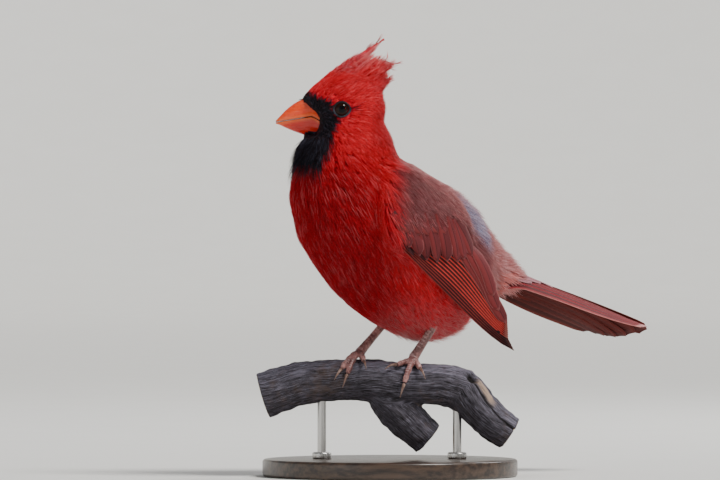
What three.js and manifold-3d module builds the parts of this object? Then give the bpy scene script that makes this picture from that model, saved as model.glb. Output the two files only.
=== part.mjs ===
// A male northern cardinal, life size, on a cut length of branch held by a plain display stand.
// Millimetres, +Z up. The bird faces -X and its left side faces -Y.
// The origin is the centre of the stand's underside.
import * as THREE from "three";
import { mergeVertices } from "three/addons/utils/BufferGeometryUtils.js";
import Module from "manifold-3d";

const wasm = await Module();
wasm.setup();

// Driving dimensions. Heights of the bird and the branch are above the feet, which stand at z = PERCH_TOP.
const GAP = 0.3; // clearance between pieces that touch
const PERCH_TOP = 52;
const FEET_X = -2.3; // where the bird's middle plane crosses the branch
const BODY_YAW = THREE.MathUtils.degToRad(28); // the breast is turned towards -Y
const HEAD_YAW = THREE.MathUtils.degToRad(6);
const TAIL_YAW = THREE.MathUtils.degToRad(37.8);

const point = (x, y, z) => new THREE.Vector3(x, y, z);
const lerp = THREE.MathUtils.lerp;
const smooth = THREE.MathUtils.smoothstep;

const finish = (color, roughness) => new THREE.MeshStandardMaterial({ color, roughness, metalness: 0 });
const RED = finish("#b8141c", 0.85);
const DULL_RED = finish("#7d3a3a", 0.8);
const HORN = finish("#dd4a1e", 0.45);
const EYE = finish("#120c0a", 0.08);
const LEG = finish("#8f5a4e", 0.6);
const CLAW = finish("#5b4038", 0.45);
const BARK = finish("#5f5a5e", 0.9);
const STAND = finish("#262422", 0.5);
const ROD = new THREE.MeshStandardMaterial({ color: "#9a9794", roughness: 0.35, metalness: 1 });

// Shape helpers

function signedVolume(points, index) {
  let sum = 0;
  for (let i = 0; i < index.length; i += 3)
    sum += points[index[i]].dot(points[index[i + 1]].clone().cross(points[index[i + 2]])) / 6;
  return sum;
}

// A solid from shared points and triangles, turned to face outwards.
function solidOf(points, index) {
  if (signedVolume(points, index) < 0) index.reverse();
  const vertProperties = new Float32Array(points.flatMap((p) => [p.x, p.y, p.z]));
  return new wasm.Manifold(new wasm.Mesh({ numProp: 3, vertProperties, triVerts: new Uint32Array(index) }));
}

function solidFrom(geometry) {
  geometry.deleteAttribute("normal");
  geometry.deleteAttribute("uv");
  const merged = mergeVertices(geometry, 1e-4);
  const place = merged.attributes.position;
  const corner = (_, i) => new THREE.Vector3().fromBufferAttribute(place, i);
  const points = Array.from({ length: place.count }, corner);
  return solidOf(points, Array.from(merged.index.array));
}

// Joins equal rings into a closed solid, with a fan over each end.
function loft(rings) {
  const sides = rings[0].length;
  const points = rings.flat();
  const index = [];
  for (let i = 0; i + 1 < rings.length; i++)
    for (let j = 0; j < sides; j++) {
      const a = i * sides + j;
      const b = i * sides + ((j + 1) % sides);
      index.push(a, b, b + sides, a, b + sides, a + sides);
    }
  for (const [row, flip] of [[0, false], [rings.length - 1, true]]) {
    const middle = points.length;
    points.push(rings[row].reduce((sum, p) => sum.add(p), point(0, 0, 0)).divideScalar(sides));
    for (let j = 0; j < sides; j++) {
      const a = row * sides + j;
      const b = row * sides + ((j + 1) % sides);
      index.push(...(flip ? [middle, a, b] : [middle, b, a]));
    }
  }
  return solidOf(points, index);
}

// A closed sheet: outer and inner are grids of points with the same rows and columns.
function sheet(outer, inner) {
  const rows = outer.length;
  const columns = outer[0].length;
  const points = [...outer.flat(), ...inner.flat()];
  const under = rows * columns;
  const index = [];
  const quad = (a, b, c, d) => index.push(a, b, c, a, c, d);
  for (let i = 0; i + 1 < rows; i++)
    for (let j = 0; j + 1 < columns; j++) {
      const a = i * columns + j;
      quad(a, a + 1, a + columns + 1, a + columns);
      quad(under + a + columns, under + a + columns + 1, under + a + 1, under + a);
    }
  for (let j = 0; j + 1 < columns; j++) {
    const end = (rows - 1) * columns + j;
    quad(j + 1, j, under + j, under + j + 1);
    quad(end, end + 1, under + end + 1, under + end);
  }
  for (let i = 0; i + 1 < rows; i++) {
    const a = i * columns;
    const b = a + columns - 1;
    quad(a, a + columns, under + a + columns, under + a);
    quad(b + columns, b, under + b, under + b + columns);
  }
  return solidOf(points, index);
}

// A tube along a curve, with its radius from a function of 0 to 1.
function tube(curve, radius, steps, sides, squash = 1) {
  const rings = [];
  const frames = curve.computeFrenetFrames(steps, false);
  for (let i = 0; i <= steps; i++) {
    const centre = curve.getPointAt(i / steps);
    const r = radius(i / steps);
    rings.push(Array.from({ length: sides }, (_, j) => {
      const angle = (2 * Math.PI * j) / sides;
      return centre.clone()
        .addScaledVector(frames.normals[i], r * Math.cos(angle))
        .addScaledVector(frames.binormals[i], r * squash * Math.sin(angle));
    }));
  }
  return loft(rings);
}

function ball(centre, radius, detail = 6) {
  const sphere = new THREE.SphereGeometry(radius, 2 * detail, detail);
  return solidFrom(sphere.translate(centre.x, centre.y, centre.z));
}

// The half space beyond a plane, as a large box.
function beyond(origin, normal) {
  const size = 400;
  const box = new THREE.BoxGeometry(size, size, size).translate(0, 0, size / 2);
  const turn = new THREE.Quaternion().setFromUnitVectors(point(0, 0, 1), normal.clone().normalize());
  box.applyQuaternion(turn);
  return solidFrom(box.translate(origin.x, origin.y, origin.z));
}

// Parts a solid at a plane with a thin cut, into the side beyond it and the side before it.
function part(solid, origin, normal) {
  const step = normal.clone().normalize().multiplyScalar(GAP / 2);
  return [
    solid.intersect(beyond(origin.clone().add(step), normal)),
    solid.intersect(beyond(origin.clone().sub(step), normal.clone().negate())),
  ];
}

// The bird's middle plane: u runs back along the body, side is to the bird's right, z is up.
function place(u, side, z) {
  const cos = Math.cos(BODY_YAW);
  const sin = Math.sin(BODY_YAW);
  return point(FEET_X + u * cos - side * sin, u * sin + side * cos, z);
}

// Flesh: the feathered outline of trunk, neck and head

// Stations down the body, in the middle plane: back and front are the half depths, side the half width.
const TRUNK = [
  { u: -20.0, z: 108, back: 18, front: 17, side: 14.5 },
  { u: -20.4, z: 99, back: 23.4, front: 20.6, side: 17.5 },
  { u: -21.2, z: 89, back: 28.2, front: 23.4, side: 21.5 },
  { u: -17.5, z: 76, back: 31, front: 30.8, side: 26 },
  { u: -7.5, z: 64.5, back: 33, front: 33.5, side: 29 },
  { u: 4.0, z: 54.5, back: 35.5, front: 35.5, side: 30 },
  { u: 16.5, z: 46.0, back: 36, front: 35.5, side: 30 },
  { u: 28.5, z: 36.5, back: 32, front: 31, side: 26.5 },
  { u: 38.5, z: 28, back: 21, front: 20, side: 18 },
  { u: 43.5, z: 24, back: 9, front: 9, side: 8 },
];
const RUMP = [
  { u: 22, z: 60, back: 17, front: 17, side: 17 },
  { u: 36, z: 52.5, back: 16, front: 17, side: 15 },
  { u: 48, z: 46, back: 13.2, front: 15.5, side: 12 },
  { u: 58, z: 41.5, back: 8.4, front: 11, side: 9 },
  { u: 66, z: 38.4, back: 4.2, front: 5.5, side: 6.5 },
  { u: 71, z: 36.6, back: 2.4, front: 2.4, side: 4.4 },
];
// Stations of the head from the nape to the bill's root, along its own line.
const HEAD_ORIGIN = { x: -20, y: -9.5 };
const HEAD = [
  { back: 17.8, z: 114.5, up: 3, down: 4, side: 3 },
  { back: 13.4, z: 115, up: 10, down: 11, side: 9 },
  { back: 7.5, z: 115.3, up: 14.8, down: 16, side: 13.2 },
  { back: -1, z: 115, up: 16.8, down: 17.5, side: 14.8 },
  { back: -9, z: 113.6, up: 14.4, down: 15.5, side: 12.8 },
  { back: -15, z: 112.2, up: 10.6, down: 11.8, side: 9.6 },
  { back: -19.5, z: 111.2, up: 7.4, down: 8.4, side: 6.4 },
];

// Rings across a spline of stations. The middle plane's side vector comes from the yaw.
function stationLoft(centres, sizes, yaws, steps, sides, grow) {
  const centre = new THREE.CatmullRomCurve3(centres);
  const size = new THREE.CatmullRomCurve3(sizes);
  const rings = [];
  for (let i = 0; i <= steps; i++) {
    const t = i / steps;
    const along = centre.getTangent(t);
    const yaw = yaws(t);
    const across = point(-Math.sin(yaw), Math.cos(yaw), 0);
    const up = along.clone().cross(across).normalize();
    across.crossVectors(up, along).normalize();
    const middle = centre.getPoint(t);
    const reach = size.getPoint(t);
    rings.push(Array.from({ length: sides }, (_, j) => {
      const angle = (2 * Math.PI * j) / sides;
      const depth = (Math.cos(angle) > 0 ? reach.x : reach.y) + grow;
      return middle.clone()
        .addScaledVector(up, depth * Math.cos(angle))
        .addScaledVector(across, (reach.z + grow) * Math.sin(angle));
    }));
  }
  return loft(rings);
}

function bodyLoft(stations, steps, sides, grow) {
  const centres = stations.map((s) => place(s.u, 0, s.z));
  const sizes = stations.map((s) => point(s.back, s.front, s.side));
  const yaws = (t) => lerp(stations === TRUNK ? HEAD_YAW : BODY_YAW, BODY_YAW, Math.min(1, t * 3));
  return stationLoft(centres, sizes, yaws, steps, sides, grow);
}

function headPoint(back, side, z) {
  const cos = Math.cos(HEAD_YAW);
  const sin = Math.sin(HEAD_YAW);
  return point(HEAD_ORIGIN.x + back * cos - side * sin, HEAD_ORIGIN.y + back * sin + side * cos, z);
}

function headLoft(grow) {
  const centres = HEAD.map((s) => headPoint(s.back, 0, s.z));
  const sizes = HEAD.map((s) => point(s.down, s.up, s.side));
  return stationLoft(centres, sizes, () => HEAD_YAW, 10, 16, grow);
}

// The ankles, and the feet on the branch. Each leg leans forward from the ankle to the foot.
const LEGS = {
  left: { ankle: point(23.5, -2.5, 22), foot: point(10.8, -1.4, 2.2) },
  right: { ankle: point(0.5, 12.5, 21), foot: point(-13.6, 2.2, 4.4) },
};

function flesh(grow = 0) {
  return bodyLoft(TRUNK, 14, 18, grow).add(bodyLoft(RUMP, 6, 12, grow)).add(headLoft(grow));
}

// Bill: the culmen, the angled gape line and the gonys, as heights along the bill from its root to its tip

const BILL_ROOT = { back: -11, z: 110 };
const BILL_LENGTH = 21;
const BILL_HALF_WIDTH = 7.2;
const GAPE_PEAK = 0.24; // where along the bill the gape line bends down to its corner
const culmen = (t) => 10.6 - 11.7 * Math.pow(t, 2.4);
const gonys = (t) => -8.4 + 7 * Math.pow(t, 1.6);
function gape(t) {
  if (t < GAPE_PEAK) return lerp(-1.4, 1.4, t / GAPE_PEAK);
  return lerp(1.4, -1.25, (t - GAPE_PEAK) / (1 - GAPE_PEAK));
}
const billHalfWidth = (t) => BILL_HALF_WIDTH * Math.pow(1 - t * 0.985, 0.65);

// One half of the bill between the gape and an edge line, with a rounded outside.
function mandible(edge, inset, grow) {
  const steps = 10;
  const sides = 9;
  const rings = [];
  for (let i = 0; i <= steps; i++) {
    const t = i / steps;
    const half = Math.max(0.35, billHalfWidth(t) - inset * (1 - t)) + grow;
    const away = Math.sign(edge(t) - gape(t)) || Math.sign(edge(0));
    const low = gape(t) - away * (grow - GAP / 2);
    const reach = away * Math.max(0.4, away * (edge(t) - low)) + away * grow;
    const back = BILL_ROOT.back - BILL_LENGTH * t - grow * (t > 0.5);
    const ring = [];
    for (let j = 0; j < sides; j++) {
      const angle = (Math.PI * j) / (sides - 1);
      const across = half * Math.cos(angle) * (1 - 0.12 * Math.sin(angle));
      ring.push(headPoint(back, across, BILL_ROOT.z + low + reach * Math.pow(Math.sin(angle), 0.8)));
    }
    ring.push(headPoint(back, 0, BILL_ROOT.z + low));
    rings.push(ring);
  }
  return loft(rings);
}

// Crest: swept-back spikes fanned from the crown, in the head's middle plane

const CREST_TIPS = [
  { back: 18.0, z: 147.0, side: 0 },
  { back: 14.2, z: 145.6, side: -1.2 },
  { back: 16.6, z: 139.4, side: 1.1 },
  { back: 19.0, z: 137.6, side: -0.9 },
  { back: 22.4, z: 135.8, side: 0.4 },
  { back: 18.2, z: 132.0, side: 1.4 },
  { back: 20.4, z: 128.4, side: -0.8 },
];
const CREST_ROOT_FRONT = { back: -12.5, z: 119.5 };
const CREST_ROOT_BACK = { back: 5, z: 119 };

function crestSpike(tip, share, grow) {
  const rootBack = lerp(CREST_ROOT_FRONT.back, CREST_ROOT_BACK.back, share);
  const root = headPoint(rootBack, 0, lerp(CREST_ROOT_FRONT.z, CREST_ROOT_BACK.z, share));
  const end = headPoint(tip.back, tip.side, tip.z);
  const middle = root.clone().lerp(end, 0.5).add(point(-1.6, 0, 1.8).multiplyScalar(1 - share));
  const line = new THREE.QuadraticBezierCurve3(root, middle, end);
  const steps = 5;
  const sides = 6;
  const rings = [];
  for (let i = 0; i <= steps; i++) {
    const t = i / steps;
    const along = line.getTangent(t);
    const across = headPoint(0, 1, 0).sub(headPoint(0, 0, 0));
    const up = along.clone().cross(across).normalize();
    const height = lerp(5.4, 0.3, Math.pow(t, 1.5)) + grow;
    const width = lerp(9.5, 0.3, Math.pow(t, 0.55)) + grow;
    rings.push(Array.from({ length: sides }, (_, j) => {
      const angle = (2 * Math.PI * j) / sides;
      return line.getPoint(t)
        .addScaledVector(up, height * Math.cos(angle))
        .addScaledVector(across, width * Math.sin(angle));
    }));
  }
  return loft(rings);
}

function crest(grow = 0) {
  const spikes = CREST_TIPS.map((tip, i) => crestSpike(tip, i / (CREST_TIPS.length - 1), grow));
  return spikes.reduce((all, one) => all.add(one));
}

// Eyes

const EYE_RADIUS = 3.7;
const EYE_PLACE = { back: -3.2, side: 10.9, z: 114.4 };
const eyeCentre = (side) => headPoint(EYE_PLACE.back, side * EYE_PLACE.side, EYE_PLACE.z);

// Wings, folded: outlines in the middle plane's u and z, laid over the body's side

// Half width of the body at a point beside it.
function bodySide(u, z) {
  let best = 0;
  const steps = 60;
  const centre = new THREE.CatmullRomCurve3(TRUNK.map((s) => point(s.u, 0, s.z)));
  const size = new THREE.CatmullRomCurve3(TRUNK.map((s) => point(s.back, s.front, s.side)));
  for (let i = 0; i <= steps; i++) {
    const c = centre.getPoint(i / steps);
    const r = size.getPoint(i / steps);
    const away = Math.hypot(u - c.x, z - c.z) / ((r.x + r.y) / 2);
    if (away < 1) best = Math.max(best, r.z * Math.sqrt(1 - away * away));
  }
  return best;
}

const WING_ROOT = { u: 0, z: 50, side: 30 };
const WING_TIP = { u: 54, z: 4, side: 19.5 };
const SHOULDER_TUCK = 12; // how far the shoulder's upper edge draws in
const WING_PIVOT = { u: -5, z: 65 };
const RIGHT_WING_LIFT = THREE.MathUtils.degToRad(15);

// The right wing is held higher: it is turned about its shoulder, and the body hides it from the left.
function held(at, side) {
  if (side < 0) return at;
  const away = point(at.x - WING_PIVOT.u, 0, at.z - WING_PIVOT.z);
  const level = Math.cos(RIGHT_WING_LIFT);
  const rise = Math.sin(RIGHT_WING_LIFT);
  return point(
    WING_PIVOT.u + away.x * level - away.z * rise, 0, WING_PIVOT.z + away.x * rise + away.z * level);
}

// How far out the wing's outer face is: over the body, and along a straight line past it.
function wingSide(u, z) {
  const du = WING_TIP.u - WING_ROOT.u;
  const dz = WING_TIP.z - WING_ROOT.z;
  const along = ((u - WING_ROOT.u) * du + (z - WING_ROOT.z) * dz) / (du * du + dz * dz);
  const straight = lerp(WING_ROOT.side, WING_TIP.side, Math.min(1.1, Math.max(-0.4, along)));
  const line = straight - SHOULDER_TUCK * smooth(z, 62, 92);
  const body = bodySide(u, z) + 1.6;
  const blend = 2.5;
  return Math.max(body, line) + (blend * Math.exp(-Math.abs(body - line) / blend)) / 3;
}

// The arm with its coverts, as an outline round its middle.
const ARM_MIDDLE = point(7, 0, 66);
const ARM_OUTLINE = [
  [-9, 89.5], [9.5, 85], [22.5, 77], [28, 66], [30, 56], [27.5, 47.8], [20.5, 44.8], [12, 45.6],
  [3.4, 46.6], [-7, 49.2], [-13, 51.6], [-17.5, 62], [-17, 77],
].map(([u, z]) => point(u, 0, z));
const ARM_RAISE = 2.6;

function arm(side, grow) {
  const outline = new THREE.CatmullRomCurve3(ARM_OUTLINE, true);
  const middle = held(ARM_MIDDLE, side);
  const count = 24;
  const rings = [1, 0.94, 0.72, 0.36];
  const grid = (lift, deep) => rings.map((share) =>
    Array.from({ length: count }, (_, i) => {
      const rim = held(outline.getPoint(i / count), side);
      const away = point(rim.x - middle.x, 0, rim.z - middle.z);
      const reach = away.length() * share + grow * share;
      away.setLength(reach);
      const u = middle.x + away.x;
      const z = middle.z + away.z;
      const dome = lift * Math.pow(Math.max(0, 1 - share ** 6), 0.5);
      return place(u, side * (wingSide(u, z) + dome - deep + (deep ? -grow : grow)), z);
    }));
  const outer = grid(ARM_RAISE, 0);
  const inner = grid(0, 9);
  return loft([...outer.toReversed(), ...inner]);
}

// A run of feathers lying over each other like roof tiles, parted by lines from root to tip.
// Each line is a curve; each feather's tip passes the ends of its two lines by a little.
function featherRun({ lines, count, tipReach, thick, stepUp, side, rows = 4, outward }) {
  const line = (share) => {
    const at = share * (lines.length - 1);
    const low = Math.min(lines.length - 2, Math.floor(at));
    const curves = [lines[low], lines[low + 1]];
    return (t) => curves[0](t).lerp(curves[1](t), at - low);
  };
  const columns = [];
  for (let i = 0; i < count; i++)
    for (const [share, raise, reach] of [[0.04, 0, 0], [0.8, 1, 1]])
      columns.push({ curve: line((i + share) / count), raise: raise * stepUp, reach: reach * tipReach });
  const outer = [];
  const inner = [];
  for (let row = 0; row < rows; row++) {
    const t = row / (rows - 1);
    const top = columns.map(({ curve, raise, reach }) => {
      const at = curve(t);
      const ahead = at.clone().sub(curve(Math.max(0, t - 0.02))).normalize();
      if (t === 0) ahead.set(0, 0, 0);
      return { at: at.addScaledVector(ahead, reach * smooth(t, 0.8, 1)), raise };
    });
    outer.push(top.map(({ at, raise }) => outward(at, raise, side)));
    inner.push(top.map(({ at }) => outward(at, -thick(t), side)));
  }
  return sheet(outer, inner);
}

const wingLine = (...stops) => {
  const curve = new THREE.QuadraticBezierCurve3(...stops.map(([u, z]) => point(u, 0, z)));
  return (t) => curve.getPoint(t);
};
const LEADING_EDGE = wingLine([-12, 54], [14, 26], [53.5, 4.6]);
const HAND_EDGE = wingLine([4, 50], [30, 36], [49.4, 11.4]);
const HAND_EDGE_NEXT = wingLine([4.6, 50.6], [30.6, 36.6], [49.6, 12.6]);
const TRAILING_EDGE = wingLine([27, 56], [43, 38], [48.4, 17.6]);
const wingOutward = (at, raise, side) => place(at.x, side * (wingSide(at.x, at.z) + raise), at.z);

function flightFeathers(edges, count, tipReach, side) {
  const lines = edges.map((edge) => (t) => held(edge(t), side));
  const thick = (t) => lerp(3.5, 0.7, smooth(t, 0, 0.75));
  return featherRun({ lines, count, tipReach, thick, stepUp: 0.6, side, outward: wingOutward });
}

// Tail: twelve feathers in an arched, half opened fan, rolled to the right at its root

const TAIL_ROOT = point(46.5, 25.5, 40.6);
const TAIL_LENGTH = 86;
const TAIL_PITCH = THREE.MathUtils.degToRad(-16);
const TAIL_ROLL = { root: THREE.MathUtils.degToRad(-30), tip: THREE.MathUtils.degToRad(-5.5) };
const TAIL_HALF_SPREAD = 19.5;
const TAIL_HALF_ROOT = 6.2;
const TAIL_SWING = -4; // how far the fan opens more to the left than to the right
const TAIL_GRADUATION = 16; // how much shorter the outer feathers are

function tailPoint(along, across, up) {
  const level = Math.cos(TAIL_PITCH);
  const ahead = point(Math.cos(TAIL_YAW) * level, Math.sin(TAIL_YAW) * level, Math.sin(TAIL_PITCH));
  const roll = lerp(TAIL_ROLL.root, TAIL_ROLL.tip, smooth(along / TAIL_LENGTH, -0.2, 0.9));
  const right = point(-Math.sin(TAIL_YAW), Math.cos(TAIL_YAW), 0).applyAxisAngle(ahead, roll);
  const over = ahead.clone().cross(right);
  const middle = TAIL_ROOT.clone().addScaledVector(ahead, along);
  return middle.addScaledVector(right, across).addScaledVector(over, up);
}

// Feather shares run from -1 at the left edge to 1 at the right edge.
function tailAt(share, t) {
  const length = TAIL_LENGTH - TAIL_GRADUATION * Math.pow(Math.abs(share), 1.7);
  const across = share * lerp(TAIL_HALF_ROOT, TAIL_HALF_SPREAD, Math.pow(t, 0.9)) + TAIL_SWING * t;
  const fall = share < 0 ? 9 + 4 * t - 8 * t * t : 4.5 + 2 * t - 3 * t * t;
  const arch = -fall * share * share;
  return point(length * t, across, arch + 1.5 - 3.5 * t * t);
}

function tail() {
  const half = (sign) => {
    const lines = Array.from({ length: 7 }, (_, i) => (t) => tailAt(sign * (1 - i / 6), t));
    const thick = (t) => lerp(2.2, 0.7, smooth(t, 0, 0.6));
    const outward = (at, raise) => tailPoint(at.x, at.y, at.z + raise);
    return featherRun({ lines, count: 6, tipReach: 2.6, thick, stepUp: 0.5, side: 1, outward });
  };
  const middle = new THREE.LineCurve3(tailPoint(0, 0, -1), tailPoint(60, TAIL_SWING * 0.6, -0.6));
  return half(-1).add(half(1)).add(tube(middle, () => 0.9, 2, 6));
}

// Branch: a bent limb with a stub of its fork, cut at its ends

const LIMB = [
  { x: -58, y: 1.5, z: -15.2, r: 10.4 },
  { x: -41, y: 0.6, z: -10.2, r: 10 },
  { x: -23, y: 0, z: -7.7, r: 9.7 },
  { x: -7, y: 0, z: -8.7, r: 10.1 },
  { x: 9, y: 0, z: -10.2, r: 9.3 },
  { x: 22.5, y: 0, z: -10.2, r: 9.3 },
  { x: 32.6, y: 0.4, z: -12.2, r: 10.1 },
  { x: 40.4, y: 1, z: -21.2, r: 9.2 },
  { x: 47.6, y: 1.8, z: -28.3, r: 8.9 },
  { x: 54.4, y: 2.6, z: -32.9, r: 8.4 },
];
const FORK = [
  { x: -6, y: 0, z: -12, r: 7 },
  { x: 2.5, y: 1, z: -21, r: 9.6 },
  { x: 11, y: 2.4, z: -29.5, r: 8.8 },
  { x: 17.4, y: 3.4, z: -35, r: 8.2 },
];
const WAVES = [[2, 0.09, 0.3], [3, -0.13, 1.9], [5, 0.21, 4.1]]; // turns round, turns along, start
const WAVE_DEPTH = 0.028;

// How far the bark swells or sinks at an angle round the limb.
function bark(x, angle) {
  const waves = WAVES.map(([round, along, start]) => Math.sin(round * angle + along * x + start));
  return 1 + WAVE_DEPTH * waves.reduce((sum, wave) => sum + wave, 0);
}

function limbSolid(stations, steps, sides, grow) {
  const centre = new THREE.CatmullRomCurve3(stations.map((s) => point(s.x, s.y, s.z)));
  const size = new THREE.CatmullRomCurve3(stations.map((s) => point(s.r, 0, 0)));
  const rings = [];
  for (let i = 0; i <= steps; i++) {
    const t = i / steps;
    const along = centre.getTangent(t);
    const front = point(0, -1, 0).addScaledVector(along, along.y).normalize();
    const up = front.clone().cross(along).normalize();
    const middle = centre.getPoint(t);
    const r = size.getPoint(t).x;
    rings.push(Array.from({ length: sides }, (_, j) => {
      const angle = (2 * Math.PI * j) / sides;
      const reach = r * bark(middle.x, angle) + grow;
      return middle.clone()
        .addScaledVector(up, reach * Math.cos(angle))
        .addScaledVector(front, reach * Math.sin(angle));
    }));
  }
  return loft(rings);
}

function branch(grow = 0) {
  return limbSolid(LIMB, 18, 12, grow).add(limbSolid(FORK, 5, 10, grow));
}

// A point on the limb's bark near x, at an angle from its top towards -Y.
function onLimb(x, angle, lift) {
  const next = LIMB.findIndex((s) => s.x > x);
  const [a, b] = [LIMB[next - 1], LIMB[next]];
  const share = (x - a.x) / (b.x - a.x);
  const reach = lerp(a.r, b.r, share) * 1.015 + lift;
  const middle = point(x, lerp(a.y, b.y, share), lerp(a.z, b.z, share));
  return middle.add(point(0, -reach * Math.sin(angle), reach * Math.cos(angle)));
}

// Feet: three toes forward over the branch and one behind, each with its claw

const TOE_RADIUS = 1.25;
const CLAW_LENGTH = 6.8;
// How far each toe runs along the branch, in mm, and round it, in degrees from the top.
const TOES = {
  left: { inner: [-7.4, 40, 3], middle: [-4.2, 84, 4], outer: [2.6, 46, 4], hind: [2.6, -76, 2] },
  right: { outer: [-8, 62, 4], middle: [-5.6, 74, 4], inner: [1.6, 38, 3], hind: [3.2, -74, 2] },
};

function toePath(leg, [run, turn]) {
  const start = Math.asin(-leg.foot.y / 10);
  const points = Array.from({ length: 7 }, (_, i) => {
    const t = i / 6;
    const x = leg.foot.x + run * t;
    const angle = lerp(start, THREE.MathUtils.degToRad(turn), t);
    return onLimb(x, angle, GAP + TOE_RADIUS * lerp(1.7, 1, smooth(t, 0, 0.5)));
  });
  return new THREE.CatmullRomCurve3(points);
}

function toe(leg, spec) {
  const knuckle = (t) => 1 + 0.13 * Math.cos(2 * Math.PI * (t * spec[2] - 0.5));
  return tube(toePath(leg, spec), (t) => TOE_RADIUS * lerp(1.12, 0.78, t) * knuckle(t), 2 * spec[2], 6);
}

function claw(leg, spec) {
  const path = toePath(leg, spec);
  const end = path.getPoint(1);
  const ahead = path.getTangent(1);
  const turn = THREE.MathUtils.degToRad(spec[1]);
  const out = onLimb(end.x, turn, 1).sub(onLimb(end.x, turn, 0)).normalize();
  const start = end.clone().addScaledVector(ahead, 0.9 + GAP).addScaledVector(out, 0.35);
  const tip = start.clone().addScaledVector(ahead, CLAW_LENGTH * 0.93);
  tip.addScaledVector(out, -CLAW_LENGTH * 0.05);
  const crown = start.clone().lerp(tip, 0.5).addScaledVector(out, CLAW_LENGTH * 0.3);
  const line = new THREE.QuadraticBezierCurve3(start, crown, tip);
  return tube(line, (t) => lerp(0.85, 0.12, Math.pow(t, 0.8)), 4, 6);
}

// The bare leg with its toes, parted just above the toes.
function lowerLeg(leg, toes) {
  const pad = leg.foot.clone();
  const top = leg.ankle.clone().lerp(leg.foot, -0.15);
  const shin = tube(new THREE.LineCurve3(top, pad), (t) => 1.4 + 0.45 * smooth(t, 0.7, 1), 6, 8, 1.15);
  const foot = Object.values(toes).reduce((all, spec) => all.add(toe(leg, spec)), ball(pad, 2.15, 5));
  const normal = leg.ankle.clone().sub(leg.foot).normalize();
  return part(shin.add(foot), pad.clone().addScaledVector(normal, 4.2), normal);
}

// Stand

const BASE_RADIUS = 58;
const BASE_HEIGHT = 8;
const ROD_RADIUS = 2;
const COLLAR_RADIUS = 4.4;
const ROD_PLACES = { front: [-31, 0.4], back: [30.5, 0.4] };

function standBase() {
  const edge = 1.4;
  const profile = [
    [0, 0], [BASE_RADIUS - edge, 0], [BASE_RADIUS, edge],
    [BASE_RADIUS, BASE_HEIGHT - edge], [BASE_RADIUS - edge, BASE_HEIGHT], [0, BASE_HEIGHT],
  ];
  const turned = new THREE.LatheGeometry(profile.map(([r, z]) => new THREE.Vector2(r, z)), 44);
  return solidFrom(turned.rotateX(Math.PI / 2));
}

function rod([x, y]) {
  const foot = BASE_HEIGHT + GAP;
  const top = PERCH_TOP - 12;
  const profile = [
    [0, foot], [COLLAR_RADIUS, foot], [COLLAR_RADIUS, foot + 1.6], [ROD_RADIUS, foot + 3.2],
    [ROD_RADIUS, top], [0, top],
  ];
  const turned = new THREE.LatheGeometry(profile.map(([r, z]) => new THREE.Vector2(r, z)), 14);
  return solidFrom(turned.rotateX(Math.PI / 2).translate(x, y, -PERCH_TOP));
}

// Assembly

const bird = new THREE.Group();
bird.position.z = PERCH_TOP;
const display = new THREE.Group();
display.add(bird);

function add(group, name, solid, material) {
  const { vertProperties, triVerts, numProp } = solid.getMesh();
  const position = new Float32Array((vertProperties.length / numProp) * 3);
  for (let i = 0; i < position.length; i += 3)
    position.set(vertProperties.subarray((i / 3) * numProp, (i / 3) * numProp + 3), i);
  const geometry = new THREE.BufferGeometry();
  geometry.setAttribute("position", new THREE.BufferAttribute(position, 3));
  geometry.setIndex(new THREE.BufferAttribute(triVerts, 1));
  geometry.computeVertexNormals();
  const mesh = new THREE.Mesh(geometry, material);
  mesh.name = name;
  group.add(mesh);
}

const UPPER_BILL = mandible(culmen, 0, 0);
const LOWER_BILL = mandible(gonys, 0.7, 0);
const BILL_SEAT = mandible(culmen, 0, GAP).add(mandible(gonys, 0.7, GAP));

// The largest piece of a cut, where a thin one may come off beside it.
const mainPiece = (solid) => solid.decompose().reduce((a, b) => (a.volume() > b.volume() ? a : b));

// The flesh with clearance all round, for what lies against it.
const FLESH_SEAT = flesh(GAP).add(flesh());

function addFlesh() {
  let body = flesh().subtract(BILL_SEAT);
  for (const side of [-1, 1]) body = body.subtract(ball(eyeCentre(side), EYE_RADIUS + GAP));
  const crown = crest().subtract(headLoft(GAP)).subtract(BILL_SEAT);
  const [head, below] = part(body, point(-20, -10, 102.2), point(-0.26, 0, 1));
  const [neck, lower] = part(below, point(-20, -10, 89.5), point(-0.27, 0, 1));
  const rearward = place(1, 0, 0).sub(place(0, 0, 0)).add(point(0, 0, -0.3));
  const [rump, trunk] = part(lower, place(46, 0, 46), rearward);
  add(bird, "head", mainPiece(head), RED);
  add(bird, "neck", mainPiece(neck), RED);
  add(bird, "trunk", mainPiece(trunk), RED);
  add(bird, "rump", mainPiece(rump), DULL_RED);
  add(bird, "crest", mainPiece(crown), RED);
}

function addWings() {
  for (const [name, side] of [["left", -1], ["right", 1]]) {
    const seat = arm(side, GAP);
    const cut = (solid) => mainPiece(solid.subtract(FLESH_SEAT).subtract(seat));
    const primaries = flightFeathers([LEADING_EDGE, HAND_EDGE], 9, 2.4, side);
    const secondaries = flightFeathers([HAND_EDGE_NEXT, TRAILING_EDGE], 9, 1.6, side);
    add(bird, `wing_${name}_arm`, mainPiece(arm(side, 0).subtract(FLESH_SEAT)), DULL_RED);
    add(bird, `wing_${name}_primaries`, cut(primaries), DULL_RED);
    add(bird, `wing_${name}_secondaries`, cut(secondaries), DULL_RED);
  }
}

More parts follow.
